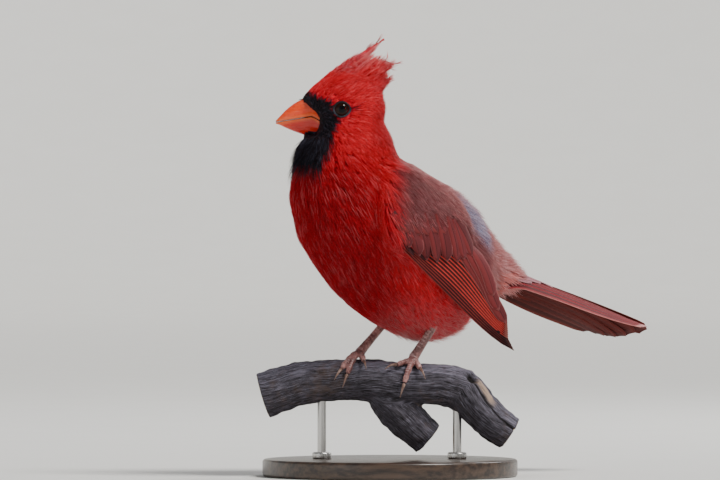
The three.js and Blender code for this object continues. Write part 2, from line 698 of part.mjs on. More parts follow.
function addLegs() {
  const limb = branch(GAP / 2);
  for (const [name, leg] of Object.entries(LEGS)) {
    const [shin, foot] = lowerLeg(leg, TOES[name]);
    add(bird, `shin_${name}`, mainPiece(shin.subtract(FLESH_SEAT)), LEG);
    add(bird, `foot_${name}`, mainPiece(foot.subtract(limb)), LEG);
    for (const [toeName, spec] of Object.entries(TOES[name])) {
      const nail = mainPiece(claw(leg, spec).subtract(foot).subtract(limb));
      add(bird, `claw_${name}_${toeName}`, nail, CLAW);
    }
  }
}

function addHeadPieces() {
  add(bird, "bill_upper", UPPER_BILL, HORN);
  add(bird, "bill_lower", LOWER_BILL, HORN);
  add(bird, "eye_left", ball(eyeCentre(-1), EYE_RADIUS), EYE);
  add(bird, "eye_right", ball(eyeCentre(1), EYE_RADIUS), EYE);
}

function addStand() {
  add(bird, "perch", branch(), BARK);
  for (const [name, spot] of Object.entries(ROD_PLACES))
    add(bird, `stand_rod_${name}`, mainPiece(rod(spot).subtract(branch(GAP))), ROD);
  add(display, "stand_base", standBase(), STAND);
}

addFlesh();
addHeadPieces();
addWings();
add(bird, "tail", mainPiece(tail().subtract(FLESH_SEAT)), DULL_RED);
addLegs();
addStand();

export default display;
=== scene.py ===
# A male northern cardinal on a cut branch: skin, feathers, bill, eyes, legs, perch and stand.
import math

import bpy
import numpy as np
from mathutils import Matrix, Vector, noise
from mathutils.bvhtree import BVHTree


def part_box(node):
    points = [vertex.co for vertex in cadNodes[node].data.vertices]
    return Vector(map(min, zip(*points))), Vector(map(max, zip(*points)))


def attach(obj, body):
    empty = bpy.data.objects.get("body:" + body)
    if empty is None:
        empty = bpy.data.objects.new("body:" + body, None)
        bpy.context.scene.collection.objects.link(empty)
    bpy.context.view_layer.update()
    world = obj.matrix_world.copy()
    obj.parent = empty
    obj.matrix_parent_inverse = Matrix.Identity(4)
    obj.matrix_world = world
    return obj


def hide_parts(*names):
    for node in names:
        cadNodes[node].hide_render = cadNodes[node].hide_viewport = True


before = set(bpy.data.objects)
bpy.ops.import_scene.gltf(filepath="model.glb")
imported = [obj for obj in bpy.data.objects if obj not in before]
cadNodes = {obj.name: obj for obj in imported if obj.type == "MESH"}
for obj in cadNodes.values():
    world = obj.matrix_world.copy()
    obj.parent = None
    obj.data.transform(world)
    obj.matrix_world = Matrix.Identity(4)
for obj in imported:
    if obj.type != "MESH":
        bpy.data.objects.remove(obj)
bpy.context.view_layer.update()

dice = np.random.default_rng(11)
noise.seed_set(11)

mm = 0.001
birdCare = {"perchTop": 52.0, "bodyYaw": 28.0, "feetX": -2.3, "headYaw": 6.0, "headX": -20.0, "headY": -9.5}
headCare = {  # places in the head's frame, as back and z
    "eye": (-3.2, 114.4), "face": (-14.0, 111.0), "faceReach": 15.0,
    "billBase": -11.0, "billLength": 21.0, "billLow": 99.0, "billHigh": 121.0,
}


# Places, in mm: the body's frame is (u back, side to its right, z over the feet), the head's (back, side, z)

def turned(yaw, x0, y0):
    c, s = math.cos(math.radians(yaw)), math.sin(math.radians(yaw))
    return c, s, x0, y0

bodyTurn = turned(birdCare["bodyYaw"], birdCare["feetX"], 0.0)
headTurn = turned(birdCare["headYaw"], birdCare["headX"], birdCare["headY"])

def toWorld(turn, back, side, z):
    c, s, x0, y0 = turn
    x = x0 + np.asarray(back) * c - np.asarray(side) * s
    y = y0 + np.asarray(back) * s + np.asarray(side) * c
    return np.stack(np.broadcast_arrays(x, y, np.asarray(z) + birdCare["perchTop"]), -1) * mm

def fromWorld(turn, points):
    c, s, x0, y0 = turn
    x, y, z = np.moveaxis(np.asarray(points) / mm, -1, 0)
    return (x - x0) * c + (y - y0) * s, -(x - x0) * s + (y - y0) * c, z - birdCare["perchTop"]

def headWay(back, side, up):
    return toWorld(headTurn, back, side, up) - toWorld(headTurn, 0, 0, 0)

def bodyWay(back, side, up):
    return toWorld(bodyTurn, back, side, up) - toWorld(bodyTurn, 0, 0, 0)

def heightOf(points):
    return points[..., 2] / mm - birdCare["perchTop"]

def step(value, low, high):
    t = np.clip((np.asarray(value, float) - low) / (high - low), 0, 1)
    return t * t * (3 - 2 * t)

def unit(vectors):
    return vectors / np.maximum(np.linalg.norm(vectors, axis=-1, keepdims=True), 1e-12)

def blend(a, b, share):
    return a * (1 - share) + b * share

# The part of each vector that lies along another.
def partAlong(vectors, way):
    return way * np.sum(vectors * way, -1, keepdims=True)

def turnedTo(vectors, toward):
    return vectors * np.sign(np.sum(vectors * toward, -1, keepdims=True))

# A place between evenly spaced stops, for each share of the way.
def alongStops(stops, share):
    places = np.linspace(0, 1, len(stops))
    return np.stack([np.interp(share, places, column) for column in zip(*stops)], -1)

def faceShare(back, z):
    middle = headCare["face"]
    return np.hypot(back - middle[0], z - middle[1]) / headCare["faceReach"]

def alongBill(back):
    return (headCare["billBase"] - back) / headCare["billLength"]

def billHeight(z):
    return (z > headCare["billLow"]) & (z < headCare["billHigh"])

def eyePlace(sideways):
    back, z = headCare["eye"]
    return toWorld(headTurn, back, sideways, z)


# Objects

def only(piece):
    bpy.ops.object.select_all(action="DESELECT")
    piece.select_set(True)
    bpy.context.view_layer.objects.active = piece

def withModifier(piece, kind, **values):
    only(piece)
    modifier = piece.modifiers.new(kind.lower(), kind)
    for key, value in values.items():
        setattr(modifier, key, value)
    bpy.ops.object.modifier_apply(modifier=modifier.name)

def smoothed(piece):
    only(piece)
    bpy.ops.object.shade_smooth()

def applied(name):
    piece = bpy.context.active_object
    piece.name = piece.data.name = name
    bpy.ops.object.transform_apply(location=True, rotation=True, scale=True)
    return piece

def meshPoints(mesh, what="co"):
    flat = np.empty(len(mesh.vertices) * 3)
    mesh.vertices.foreach_get(what, flat)
    return flat.reshape(-1, 3)

def putPoints(mesh, points):
    mesh.vertices.foreach_set("co", np.asarray(points, float).ravel())
    mesh.update()

def putValues(mesh, name, values):
    layer = mesh.attributes.new(name, "FLOAT", "POINT")
    layer.data.foreach_set("value", np.asarray(values, np.float32).ravel())

# A merged copy of CAD nodes, as one new mesh.
def copyOf(names, newName):
    bpy.ops.object.select_all(action="DESELECT")
    for name in names:
        piece = cadNodes[name].copy()
        piece.data = cadNodes[name].data.copy()
        piece.data.materials.clear()
        for key in list(piece.keys()):
            del piece[key]
        piece.parent = None
        bpy.context.collection.objects.link(piece)
        piece.select_set(True)
        bpy.context.view_layer.objects.active = piece
    if len(names) > 1:
        bpy.ops.object.join()
    piece = bpy.context.view_layer.objects.active
    piece.name = piece.data.name = newName
    bpy.ops.object.mode_set(mode="EDIT")
    bpy.ops.mesh.select_all(action="SELECT")
    bpy.ops.mesh.remove_doubles(threshold=1e-6)
    bpy.ops.object.mode_set(mode="OBJECT")
    return piece

# The same, grown a little, made one fine shell and smoothed.
def softCopy(names, newName, grow, voxel, rounds):
    piece = copyOf(names, newName)
    mesh = piece.data
    putPoints(mesh, meshPoints(mesh) + meshPoints(mesh, "normal") * grow)
    withModifier(piece, "REMESH", mode="VOXEL", voxel_size=voxel)
    withModifier(piece, "SMOOTH", factor=0.5, iterations=rounds)
    return piece

def newPiece(name, points, corners, values=None, uv=None):
    mesh = bpy.data.meshes.new(name)
    mesh.vertices.add(len(points))
    mesh.vertices.foreach_set("co", np.asarray(points, np.float32).ravel())
    mesh.loops.add(corners.size)
    mesh.loops.foreach_set("vertex_index", corners.astype(np.int32).ravel())
    mesh.polygons.add(len(corners))
    mesh.polygons.foreach_set("loop_start", np.arange(0, corners.size, corners.shape[1], dtype=np.int32))
    mesh.update(calc_edges=True)
    for key, value in (values or {}).items():
        putValues(mesh, key, value)
    if uv is not None:
        layer = mesh.uv_layers.new(name="OFBake")
        layer.data.foreach_set("uv", uv[corners.ravel()].astype(np.float32).ravel())
    mesh.polygons.foreach_set("use_smooth", np.ones(len(corners), bool))
    piece = bpy.data.objects.new(name, mesh)
    bpy.context.collection.objects.link(piece)
    return piece

def settle(piece, slotName, material, *nodes):
    piece.data.materials.clear()
    piece.data.materials.append(material)
    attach(piece, "root")
    if nodes:
        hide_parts(*nodes)

# Faces in the order that points their normals outward.
def facedOut(points, faces):
    tri = points[faces] - points.mean(0)
    volume = np.einsum("ij,ij->i", tri[:, 0], np.cross(tri[:, 1], tri[:, 2])).sum()
    return faces[:, ::-1] if volume < 0 else faces

def treeOf(names):
    piece = copyOf(names, "tree")
    tree = BVHTree.FromObject(piece, bpy.context.evaluated_depsgraph_get())
    bpy.data.objects.remove(piece)
    return tree


# Markings and a painted shade, worked out from the place on the bird: 0 to 1 each

# The black's back edge from the throat to the forehead: z over the feet and how far back it reaches
maskEdge = [
    (87.9, -22.2), (88.9, -15.5), (90.3, -13.5), (93.5, -12.1), (96.4, -11.0), (98.0, -9.3), (100.5, -8.3),
    (103.9, -7.4), (107.3, -5.6), (109.8, -4.8), (114.7, -7.4), (117.6, -8.0), (119.2, -13.6), (121.6, -18.0),
]
# The same for the front edge of the feathers beside the bill
billEdge = [
    (98.0, -27.0), (101.6, -21.6), (102.3, -14.0), (104.5, -12.6), (107.7, -11.9), (110.9, -12.2),
    (113.3, -13.6), (115.7, -16.4), (118.5, -18.6), (119.5, -21.0), (121.0, -27.0),
]

def edgeBack(z, edge):
    return np.interp(z, *zip(*edge))

def bibMask(points):
    back, side, z = fromWorld(headTurn, points)
    ragged = 0.7 * np.sin(back * 2.1 + z * 0.8) + 0.5 * np.sin(z * 2.7 + side * 1.7)
    inside = edgeBack(z, maskEdge) + 0.45 * ragged - back
    tall = step(z + ragged, 88.9, 91.9) * (1 - step(z + 0.4 * ragged, 120.2, 121.8))
    corner = np.hypot((back - 1.1) / 1.9, (z - 114.6) / 0.8) + 0.3 * np.abs(ragged)
    return np.maximum(step(inside, -0.6, 0.9) * tall, 1 - step(corner, 0.7, 1.2))

def markings(points):
    u, side, z = fromWorld(bodyTurn, points)
    back = fromWorld(headTurn, points)[0]
    ragged = 1.6 * np.sin(u * 0.7 + side * 0.5) * np.sin(z * 0.6)
    over = z - (53 - 0.83 * u)
    behind = u - (3 - 0.5 * np.abs(side)) + ragged
    dusky = step(behind, -4, 5) * step(over, -5, 5) * (1 - step(z, 104, 112))
    mantle = 0.6 * step(over, 22, 42) * step(u, -12, 6)
    rump = np.maximum(step(u, 36, 48) * step(z, 26, 34), mantle)
    slate = 1 - step(np.hypot((u - 33) / 10.5, (z - 66 + 0.8 * (u - 33)) / 9.5), 0.5, 1.1)
    vent = step(u, 24, 40) * (1 - step(z, 22, 36))
    crest = step(z, 127, 138)
    # Painted shade: darker towards the front and the bottom of the breast, none on the head
    shade = step(-u + 0.3 * (80 - z), 8, 34) * (1 - step(z, 84, 100))
    flank = step(u + 0.4 * np.abs(side), -8, 6) * (1 - step(u, 24, 36))
    flank = flank * step(z, 40, 60) * (1 - step(z, 84, 96))
    pink = (1 - step(np.hypot((u - 56) / 6.5, (z - 36.4) / 7.5), 0.6, 1.1)) * (side < 0)
    tibial = 1 - step(np.hypot(points[..., 0] / mm - 1.4, z - 12.5) / 6.0, 0.5, 1.1)
    nape = step(back, 5, 13) * step(z, 92, 106) * (1 - step(z, 126, 132))
    front = 0.45 * step(crest * 4 * (1 - step(back - 0.9 * (z - 118), -12, -4)), 0.2, 1)
    belly = 0.9 * (1 - step(z, 14, 42)) * step(u, -16, -4)
    pale = np.maximum(np.maximum(rump * 0.95, vent), belly) + 0.35 * flank + 0.5 * step(z, 126, 137)
    return {
        "black": bibMask(points), "dusky": np.clip(np.maximum(dusky, rump * 0.8), 0, 1),
        "slate": slate * dusky, "pale": np.clip(pale, 0, 1), "shade": shade, "rump": rump, "streak": front,
        "pink": pink, "white": tibial, "nape": nape,
    }


# Shader helpers

def newMaterial(name, **values):
    material = bpy.data.materials.new(name)
    material.use_nodes = True
    tree = material.node_tree
    shader = tree.nodes["Principled BSDF"]
    for key, value in values.items():
        shader.inputs[key.replace("_", " ")].default_value = value
    return material, tree, shader

def node(tree, kind, **values):
    made = tree.nodes.new(kind)
    for key, value in values.items():
        setattr(made, key, value)
    return made

def feed(tree, socket, value):
    if isinstance(value, bpy.types.NodeSocket):
        tree.links.new(value, socket)
    elif isinstance(value, tuple) and len(value) == 3 and socket.type == "RGBA":
        socket.default_value = (*value, 1)
    else:
        socket.default_value = value

def maths(tree, operation, a, b=0.5, clamp=False):
    made = node(tree, "ShaderNodeMath", operation=operation, use_clamp=clamp)
    feed(tree, made.inputs[0], a)
    feed(tree, made.inputs[1], b)
    return made.outputs[0]

def times(tree, a, b):
    return maths(tree, "MULTIPLY", a, b)

def mixed(tree, share, a, b, how="MIX"):
    made = node(tree, "ShaderNodeMix", data_type="RGBA", blend_type=how)
    feed(tree, made.inputs[0], share)
    feed(tree, made.inputs[6], a)
    feed(tree, made.inputs[7], b)
    return made.outputs[2]

def ramp(tree, value, low, high, to=(0.0, 1.0)):
    made = node(tree, "ShaderNodeMapRange", interpolation_type="SMOOTHSTEP")
    feed(tree, made.inputs[0], value)
    for socket, number in zip(made.inputs[1:5], (low, high, *to)):
        socket.default_value = number
    return made.outputs[0]

def attribute(tree, name):
    return node(tree, "ShaderNodeAttribute", attribute_name=name).outputs["Fac"]

def objectPlace(tree, scale=(1, 1, 1), turn=(0, 0, 0)):
    place = node(tree, "ShaderNodeTexCoord").outputs["Object"]
    mapping = node(tree, "ShaderNodeMapping")
    tree.links.new(place, mapping.inputs["Vector"])
    mapping.inputs["Scale"].default_value = scale
    mapping.inputs["Rotation"].default_value = turn
    return mapping.outputs[0]

def noisy(tree, place, scale, detail=3.0, rough=0.55):
    made = node(tree, "ShaderNodeTexNoise")
    feed(tree, made.inputs["Vector"], place)
    made.inputs["Scale"].default_value = scale
    made.inputs["Detail"].default_value = detail
    made.inputs["Roughness"].default_value = rough
    return made.outputs["Fac"]

def bumped(tree, shader, height, distance, strength=1.0):
    bump = node(tree, "ShaderNodeBump")
    bump.inputs["Strength"].default_value = strength
    bump.inputs["Distance"].default_value = distance
    feed(tree, bump.inputs["Height"], height)
    tree.links.new(bump.outputs[0], shader.inputs["Normal"])

# A shared group: two sizes of mottling in Object coordinates, as one value round 0.5 and one fine mask.
def mottleGroup():
    group = bpy.data.node_groups.new("mottle", "ShaderNodeTree")
    group.interface.new_socket("Scale", in_out="INPUT", socket_type="NodeSocketFloat").default_value = 1.0
    group.interface.new_socket("Value", in_out="OUTPUT", socket_type="NodeSocketFloat")
    group.interface.new_socket("Fine", in_out="OUTPUT", socket_type="NodeSocketFloat")
    start, end = node(group, "NodeGroupInput"), node(group, "NodeGroupOutput")
    place = node(group, "ShaderNodeTexCoord").outputs["Object"]
    scaled = node(group, "ShaderNodeVectorMath", operation="SCALE")
    group.links.new(place, scaled.inputs[0])
    group.links.new(start.outputs[0], scaled.inputs["Scale"])
    broad = noisy(group, scaled.outputs[0], 90, 4)
    fine = noisy(group, scaled.outputs[0], 900, 3)
    both = maths(group, "ADD", times(group, broad, 0.65), times(group, fine, 0.35))
    group.links.new(both, end.inputs[0])
    group.links.new(fine, end.inputs[1])
    return group

mottle = mottleGroup()

def mottled(tree, scale=1.0):
    made = node(tree, "ShaderNodeGroup", node_tree=mottle)
    made.inputs[0].default_value = scale
    return made.outputs[0], made.outputs[1]


# Feather colours

plumage = {
    "brightRed": (0.94, 0.006, 0.034), "deepRed": (0.36, 0.002, 0.010), "orangeRed": (0.92, 0.030, 0.030),
    "dusky": (0.15, 0.030, 0.034), "duskyLight": (0.33, 0.090, 0.100), "rump": (0.56, 0.20, 0.20),
    "slate": (0.13, 0.15, 0.27), "slateLight": (0.52, 0.54, 0.75), "pale": (0.78, 0.46, 0.46),
    "black": (0.006, 0.005, 0.008), "blackPaintedSheen": (0.050, 0.055, 0.085), "streak": (0.42, 0.20, 0.25),
    "pink": (0.86, 0.25, 0.22), "white": (0.80, 0.62, 0.60), "hair": (0.92, 0.30, 0.30),
}

def coatMaterial(name, skinLike=False):
    material, tree, shader = newMaterial(name, Roughness=0.62, Specular_IOR_Level=0.12,
                                         Sheen_Weight=0.0 if skinLike else 0.06, Sheen_Roughness=0.45,
                                         Sheen_Tint=(1.0, 0.35, 0.4, 1))
    value, fine = mottled(tree)
    tone = ramp(tree, value, 0.3, 0.7) if skinLike else attribute(tree, "tone")
    along = 0.2 if skinLike else attribute(tree, "along")
    red = mixed(tree, tone, plumage["deepRed"], plumage["brightRed"])
    red = mixed(tree, times(tree, along, 0.5), red, plumage["orangeRed"])
    # Painted shade: the red deepened towards deep red where the shade mark lies
    red = mixed(tree, times(tree, attribute(tree, "shade"), 0.85), red, plumage["deepRed"])
    grey = mixed(tree, tone, plumage["dusky"], plumage["duskyLight"])
    grey = mixed(tree, attribute(tree, "rump"), grey, plumage["rump"])
    colour = mixed(tree, attribute(tree, "dusky"), red, grey)
    grey = mixed(tree, ramp(tree, tone, 0.3, 0.75), plumage["slate"], plumage["slateLight"])
    colour = mixed(tree, attribute(tree, "slate"), colour, grey)
    streak = times(tree, attribute(tree, "streak"), ramp(tree, tone, 0.5, 0.9))
    colour = mixed(tree, streak, colour, plumage["streak"])
    colour = mixed(tree, attribute(tree, "pink"), colour, plumage["pink"])
    colour = mixed(tree, times(tree, attribute(tree, "white"), 0.8), colour, plumage["white"])
    hair = times(tree, ramp(tree, tone, 0.78, 0.94), 0.0 if skinLike else 0.28)
    colour = mixed(tree, hair, colour, plumage["hair"])
    for mark, start, share, tint in (("nape", 0.4, 0.35, "duskyLight"), ("pale", 0.45, 0.75, "pale")):
        tip = times(tree, attribute(tree, mark), 0.1 if skinLike else ramp(tree, along, start, 1.0))
        colour = mixed(tree, times(tree, tip, share), colour, plumage[tint])
    # Black feathers, the lighter barbs given a painted blue-grey sheen
    black = mixed(tree, ramp(tree, tone, 0.62, 0.95), plumage["black"], plumage["blackPaintedSheen"])
    colour = mixed(tree, attribute(tree, "black"), colour, black)
    if not skinLike:
        # Painted shade: each barb darker towards its root, where the tufts above overlap it
        root = ramp(tree, along, 0.0, 0.4, (0.75, 1.0))
        colour = mixed(tree, 1.0, colour, mixed(tree, root, (0.25, 0.22, 0.22), (1.0, 1.0, 1.0)), "MULTIPLY")
    tree.links.new(colour, shader.inputs["Base Color"])
    tree.links.new(ramp(tree, fine, 0.3, 0.7, (0.5, 0.75)), shader.inputs["Roughness"])
    bumped(tree, shader, fine, 0.0002 if skinLike else 0.00005)
    return material

# Vanes: dark web, bright outer edge, pale rim, and barbs as fine slanting ridges.
def vaneMaterial(name, web, outer, rim, outerFrom=0.1, rimShare=0.4, tipDark=0.0, dark=(0.012, 0.006, 0.008),
                 innerDark=1.0, under=None, endShare=0.5):
    material, tree, shader = newMaterial(name, Roughness=0.6, Specular_IOR_Level=0.14)
    across, along, tone = (attribute(tree, key) for key in ("across", "along", "tone"))
    away = maths(tree, "ABSOLUTE", across, 0.0)
    barb = maths(tree, "ADD", times(tree, along, 150.0), times(tree, away, -22.0))
    ridge = maths(tree, "SINE", barb, 0.0)
    value, fine = mottled(tree, 0.6)
    base = mixed(tree, tone, web, tuple(min(1.0, c * 1.7) for c in web))
    base = mixed(tree, ramp(tree, across, outerFrom, outerFrom - 0.35), base, outer)
    base = mixed(tree, ramp(tree, across, 0.02, 0.35, (0.0, innerDark)), base, dark)
    shaft = ramp(tree, away, 0.10, 0.03)
    base = mixed(tree, times(tree, shaft, 0.7), base, dark)
    rimMask = times(tree, ramp(tree, away, 0.86, 0.97), rimShare)
    base = mixed(tree, rimMask, base, rim)
    endRim = times(tree, ramp(tree, along, 0.95, 0.985), endShare)
    base = mixed(tree, endRim, base, rim)
    if tipDark:
        base = mixed(tree, times(tree, ramp(tree, along, 0.62, 0.9), tipDark), base, dark)
    if under:
        base = mixed(tree, attribute(tree, "under"), base, mixed(tree, ramp(tree, away, 0.2, 1.0), *under))
    base = mixed(tree, times(tree, ramp(tree, ridge, -1.0, 1.0), 0.16), base, dark)
    base = mixed(tree, ramp(tree, value, 0.45, 0.75, (0.0, 0.25)), base, dark)
    tree.links.new(base, shader.inputs["Base Color"])
    bumped(tree, shader, maths(tree, "ADD", ridge, fine), 0.00006, 0.7)
    return material


# Skin: one shell for head, neck, trunk, rump, crest and wing arms, lying inside them by the coat's depth

skinCare = {
    "voxel": 0.95 * mm, "grow": 0.22 * mm, "rounds": 26, "napeRounds": 110,
    "face": 0.45, "head": 0.9, "body": 1.9, "belly": 2.3,  # the coat's depth in mm
}
fleshNodes = ["head", "neck", "trunk", "rump", "crest", "wing_left_arm", "wing_right_arm"]
wingTrees = {name: treeOf([f"wing_{name}_{part}" for part in ("arm", "primaries", "secondaries")])
             for name in ("left", "right")}
armTree = treeOf(["wing_left_arm", "wing_right_arm"])
trunkTree = treeOf(["head", "neck", "trunk", "rump", "crest"])

# For each point, the nearest place, its normal, its face and the distance.
def nearest(tree, points):
    found = [tree.find_nearest(Vector(p)) for p in points]
    return tuple(np.array(part) for part in zip(*found))

def coatDepth(points):
    back, _, z = fromWorld(headTurn, points)
    u = fromWorld(bodyTurn, points)[0]
    face = faceShare(back, z)
    depth = blend(skinCare["face"], skinCare["head"], step(face, 0.5, 1.2))
    depth = blend(depth, skinCare["body"], 1 - step(z, 84, 106))
    depth = blend(depth, skinCare["belly"], 1 - step(z, 14, 34))
    depth = blend(depth, 0.9, step(z, 124, 132))
    return blend(depth, 1.0, step(u, 58, 68) * (z < 60)) * mm

# Where the bill comes out of the face, the skin draws in under the horn.
def besideBill(points):
    back, side, z = fromWorld(headTurn, points)
    t = np.clip(alongBill(back), 0, 0.95)
    wide = 7.2 * (1 - 0.985 * t) ** 0.65 - 1.3
    top, low = 120.6 - 11.7 * t ** 2.4 - 1.2, 101.6 + 7 * t ** 1.6 + 1.2
    share = step(edgeBack(z, billEdge) - back, -0.4, 1.3) * billHeight(z)
    side = blend(side, np.clip(side, -wide, wide) * 0.8, share)
    return toWorld(headTurn, back, side, blend(z, np.clip(z, low, top), share))

def makeSkin():
    skin = softCopy(fleshNodes, "skin", skinCare["grow"], skinCare["voxel"], 6)
    mesh = skin.data
    group = skin.vertex_groups.new(name="soft")
    z = heightOf(meshPoints(mesh))
    for low, high, weight in ((-99, 92, 1.0), (92, 104, 0.55), (104, 122, 0.2)):
        group.add(np.flatnonzero((z >= low) & (z < high)).tolist(), weight, "REPLACE")
    withModifier(skin, "SMOOTH", factor=0.5, iterations=skinCare["rounds"], vertex_group="soft")
    skin.vertex_groups.clear()
    back, _, z = fromWorld(headTurn, meshPoints(mesh))
    nape = skin.vertex_groups.new(name="nape")
    share = step(back, -2, 7) * step(z, 82, 92) * (1 - step(z, 119, 125))
    for level in np.arange(0.1, 1.01, 0.1):
        nape.add(np.flatnonzero(np.abs(share - level) < 0.0501).tolist(), float(level), "REPLACE")
    withModifier(skin, "SMOOTH", factor=0.5, iterations=skinCare["napeRounds"], vertex_group="nape")
    skin.vertex_groups.clear()
    points, facing = meshPoints(mesh), meshPoints(mesh, "normal")
    putPoints(mesh, besideBill(points - facing * coatDepth(points)[:, None]))
    for key, value in markings(meshPoints(mesh)).items():
        putValues(mesh, key, value)
    only(skin)
    bpy.ops.object.mode_set(mode="EDIT")
    bpy.ops.mesh.select_all(action="SELECT")
    bpy.ops.uv.smart_project(angle_limit=math.radians(66), island_margin=0.002)
    bpy.ops.object.mode_set(mode="OBJECT")
    mesh.uv_layers[0].name = "OFBake"
    smoothed(skin)
    settle(skin, "feathers_red", coatMaterial("skinRed", True), *fleshNodes)
    return skin

skin = makeSkin()
skinTree = BVHTree.FromObject(skin, bpy.context.evaluated_depsgraph_get())
print("skin", len(skin.data.polygons))

def skinUv(faces):
    mesh = skin.data
    flat = np.empty(len(mesh.loops) * 2)
    mesh.uv_layers["OFBake"].data.foreach_get("uv", flat)
    starts = np.empty(len(mesh.polygons), np.int64)
    mesh.polygons.foreach_get("loop_start", starts)
    return flat.reshape(-1, 2)[starts[faces]]


# Coat: tufts of tapering barbs, rooted on the skin and lying along it

coatCare = {
    "bodyGap": 2.0, "headGap": 1.2,  # mm between roots
    "bodyBarbs": 10, "headBarbs": 7, "bodyFan": 0.26, "headFan": 0.34,
    "eyeHole": 3.7, "eyeHoleSide": 12.9,  # mm kept clear round each eye
    "patch": 0.003,  # size of a tuft on the OFBake map
    "mostFaces": 190000,
}

# The way the feathers lie, before it is laid flat on the skin.
def lieOf(points, facing):
    back, side, z = fromWorld(headTurn, points)
    u, bodySide, _ = fromWorld(bodyTurn, points)
    one = np.ones(len(points))
    fromBill = unit(headWay(back + 13, side * 0.25, z - 113))
    crown = unit(headWay(0.83 * one, 0 * one, 0.55 * one))
    nape = unit(headWay(0.45 * one, 0 * one, -0.9 * one))
    body = unit(bodyWay(0.55 * one, 0 * one, -0.83 * one))
    flank = unit(bodyWay(0.78 * one, 0 * one, -0.62 * one))
    rump = unit(bodyWay(0.92 * one, -0.16 * np.sign(bodySide) * step(np.abs(bodySide), 2, 8), -0.38 * one))
    way = blend(fromBill, crown, (step(z, 119, 124) * step(back, -22, -13))[:, None])
    way = blend(way, nape, (step(back, 5, 13) * (1 - step(z, 112, 122)))[:, None])
    way = blend(way, body, (1 - step(z, 86, 100))[:, None])
    way = blend(way, flank, (step(u, 2, 22) * (1 - step(z, 70, 92)))[:, None])
    way = blend(way, rump, (step(u, 36, 50) * (z < 70))[:, None])
    swirl = np.array([noise.noise_vector(Vector(p) * 110) for p in points])
    way = unit(way) + 0.16 * swirl + dice.normal(0, 0.06, points.shape)
    return unit(way - partAlong(way, facing))

def lengthOf(points):
    back, _, z = fromWorld(headTurn, points)
    length = blend(1.6, 5.2, step(faceShare(back, z), 0.35, 1.2))
    length = blend(length, 7.4, bibMask(points) * (1 - step(z, 98, 106)))
    length = blend(length, 9.5, 1 - step(z, 80, 102))
    length = blend(length, 12.5, 1 - step(z, 8, 32))
    length = blend(length, 8.0, markings(points)["pink"])
    return blend(length, 5.0, step(z, 122, 130)) * mm

# How far the tips stand off: at the bib, the nape, the rump, the belly's underside and beside the tail.
def flareOf(points):
    back, _, z = fromWorld(headTurn, points)
    u = fromWorld(bodyTurn, points)[0]
    flare = 2.9 * bibMask(points) * (1 - step(z, 101, 107))
    flare = np.maximum(flare, 0.9 * step(back, 6, 14) * step(z, 92, 106))
    flare = np.maximum(flare, 2.4 * step(u, 14, 30) * step(z - (60 - 0.83 * u), 8, 22) * (z < 84))
    flare = np.maximum(flare, 3.2 * (1 - step(z, 12, 30)) * step(u, -10, 6))
    flare = np.maximum(flare, 4.5 * markings(points)["pink"])
    return (flare + 0.25) * mm

# The belly's lower hem.
def hemOf(points):
    u, _, z = fromWorld(bodyTurn, points)
    return (1 - step(z, 11, 24)) * step(u, -14, -2)

# How closely feathers follow the skin: loose at the belly's hem, beside the tail, on the bib and the crest.
def clingOf(points):
    back, _, z = fromWorld(headTurn, points)
    ball = np.clip(markings(points)["pink"] * 1.5, 0, 1)
    bib = bibMask(points) * (1 - step(z, 97, 102))
    loose = np.maximum(np.maximum(0.8 * hemOf(points), 0.7 * ball), 0.6 * bib)
    return 1 - np.maximum(loose, 0.9 * step(z, 124, 130) * step(back - 0.9 * (z - 118), -10, -4))

# Roots spread over the wanted part of the skin, one in each small cube.
def sampleSkin(gap, wanted):
    mesh = skin.data
    mesh.calc_loop_triangles()
    corners = np.empty(len(mesh.loop_triangles) * 3, np.int64)
    mesh.loop_triangles.foreach_get("vertices", corners)
    tri = meshPoints(mesh)[corners.reshape(-1, 3)]
    tri = tri[wanted(tri.mean(1))]
    area = np.linalg.norm(np.cross(tri[:, 1] - tri[:, 0], tri[:, 2] - tri[:, 0]), axis=1)
    count = int(area.sum() / 2 / gap ** 2 * 8)
    pick = dice.choice(len(tri), count, p=area / area.sum())
    a, b = dice.random((2, count, 1))
    a, b = np.where(a + b > 1, 1 - a, a), np.where(a + b > 1, 1 - b, b)
    spots = tri[pick, 0] + a * (tri[pick, 1] - tri[pick, 0]) + b * (tri[pick, 2] - tri[pick, 0])
    _, first = np.unique(np.floor(spots / gap).astype(int), axis=0, return_index=True)
    return spots[np.sort(first)]

def offBill(points):
    back, _, z = fromWorld(headTurn, points)
    return ~((back < edgeBack(z, billEdge) + 0.15) & billHeight(z))

def onHead(points):
    return heightOf(points) > 97

def offEyes(points):
    clear = np.ones(len(points), bool)
    for side in (-1, 1):
        centre = eyePlace(side * coatCare["eyeHoleSide"])
        clear &= np.linalg.norm(points - centre, axis=1) > coatCare["eyeHole"] * mm
    return clear

def onArm(points):
    armGap, trunkGap = nearest(armTree, points)[3], nearest(trunkTree, points)[3]
    u, side, z = fromWorld(bodyTurn, points)
    raised = np.where(side > 0, 0.27 * (u + 5), 0)
    return (armGap + 0.3 * mm < trunkGap) & (z - raised < 64.5) & (u > -13 + 0.25 * (z - 50))

# Barbs of one tuft leave its root in a narrow fan. Each is a closed three-sided blade with a point.
barbShape = {"stops": (0.0, 0.3, 0.68, 1.0), "widths": (0.75, 1.0, 0.7), "rise": (0.0, 0.75, 1.0, 0.95),
             "thick": 0.4}

# Three rings of three points and a tip for each blade.
def bladePoints(centre, flat, out, wide, thick):
    ring = centre[:, :, :3]
    body = np.stack([ring + flat * wide / 2, ring + out * wide * thick, ring - flat * wide / 2], 3)
    return np.concatenate([body.reshape(*centre.shape[:2], 9, 3), centre[:, :, 3:4]], 2)

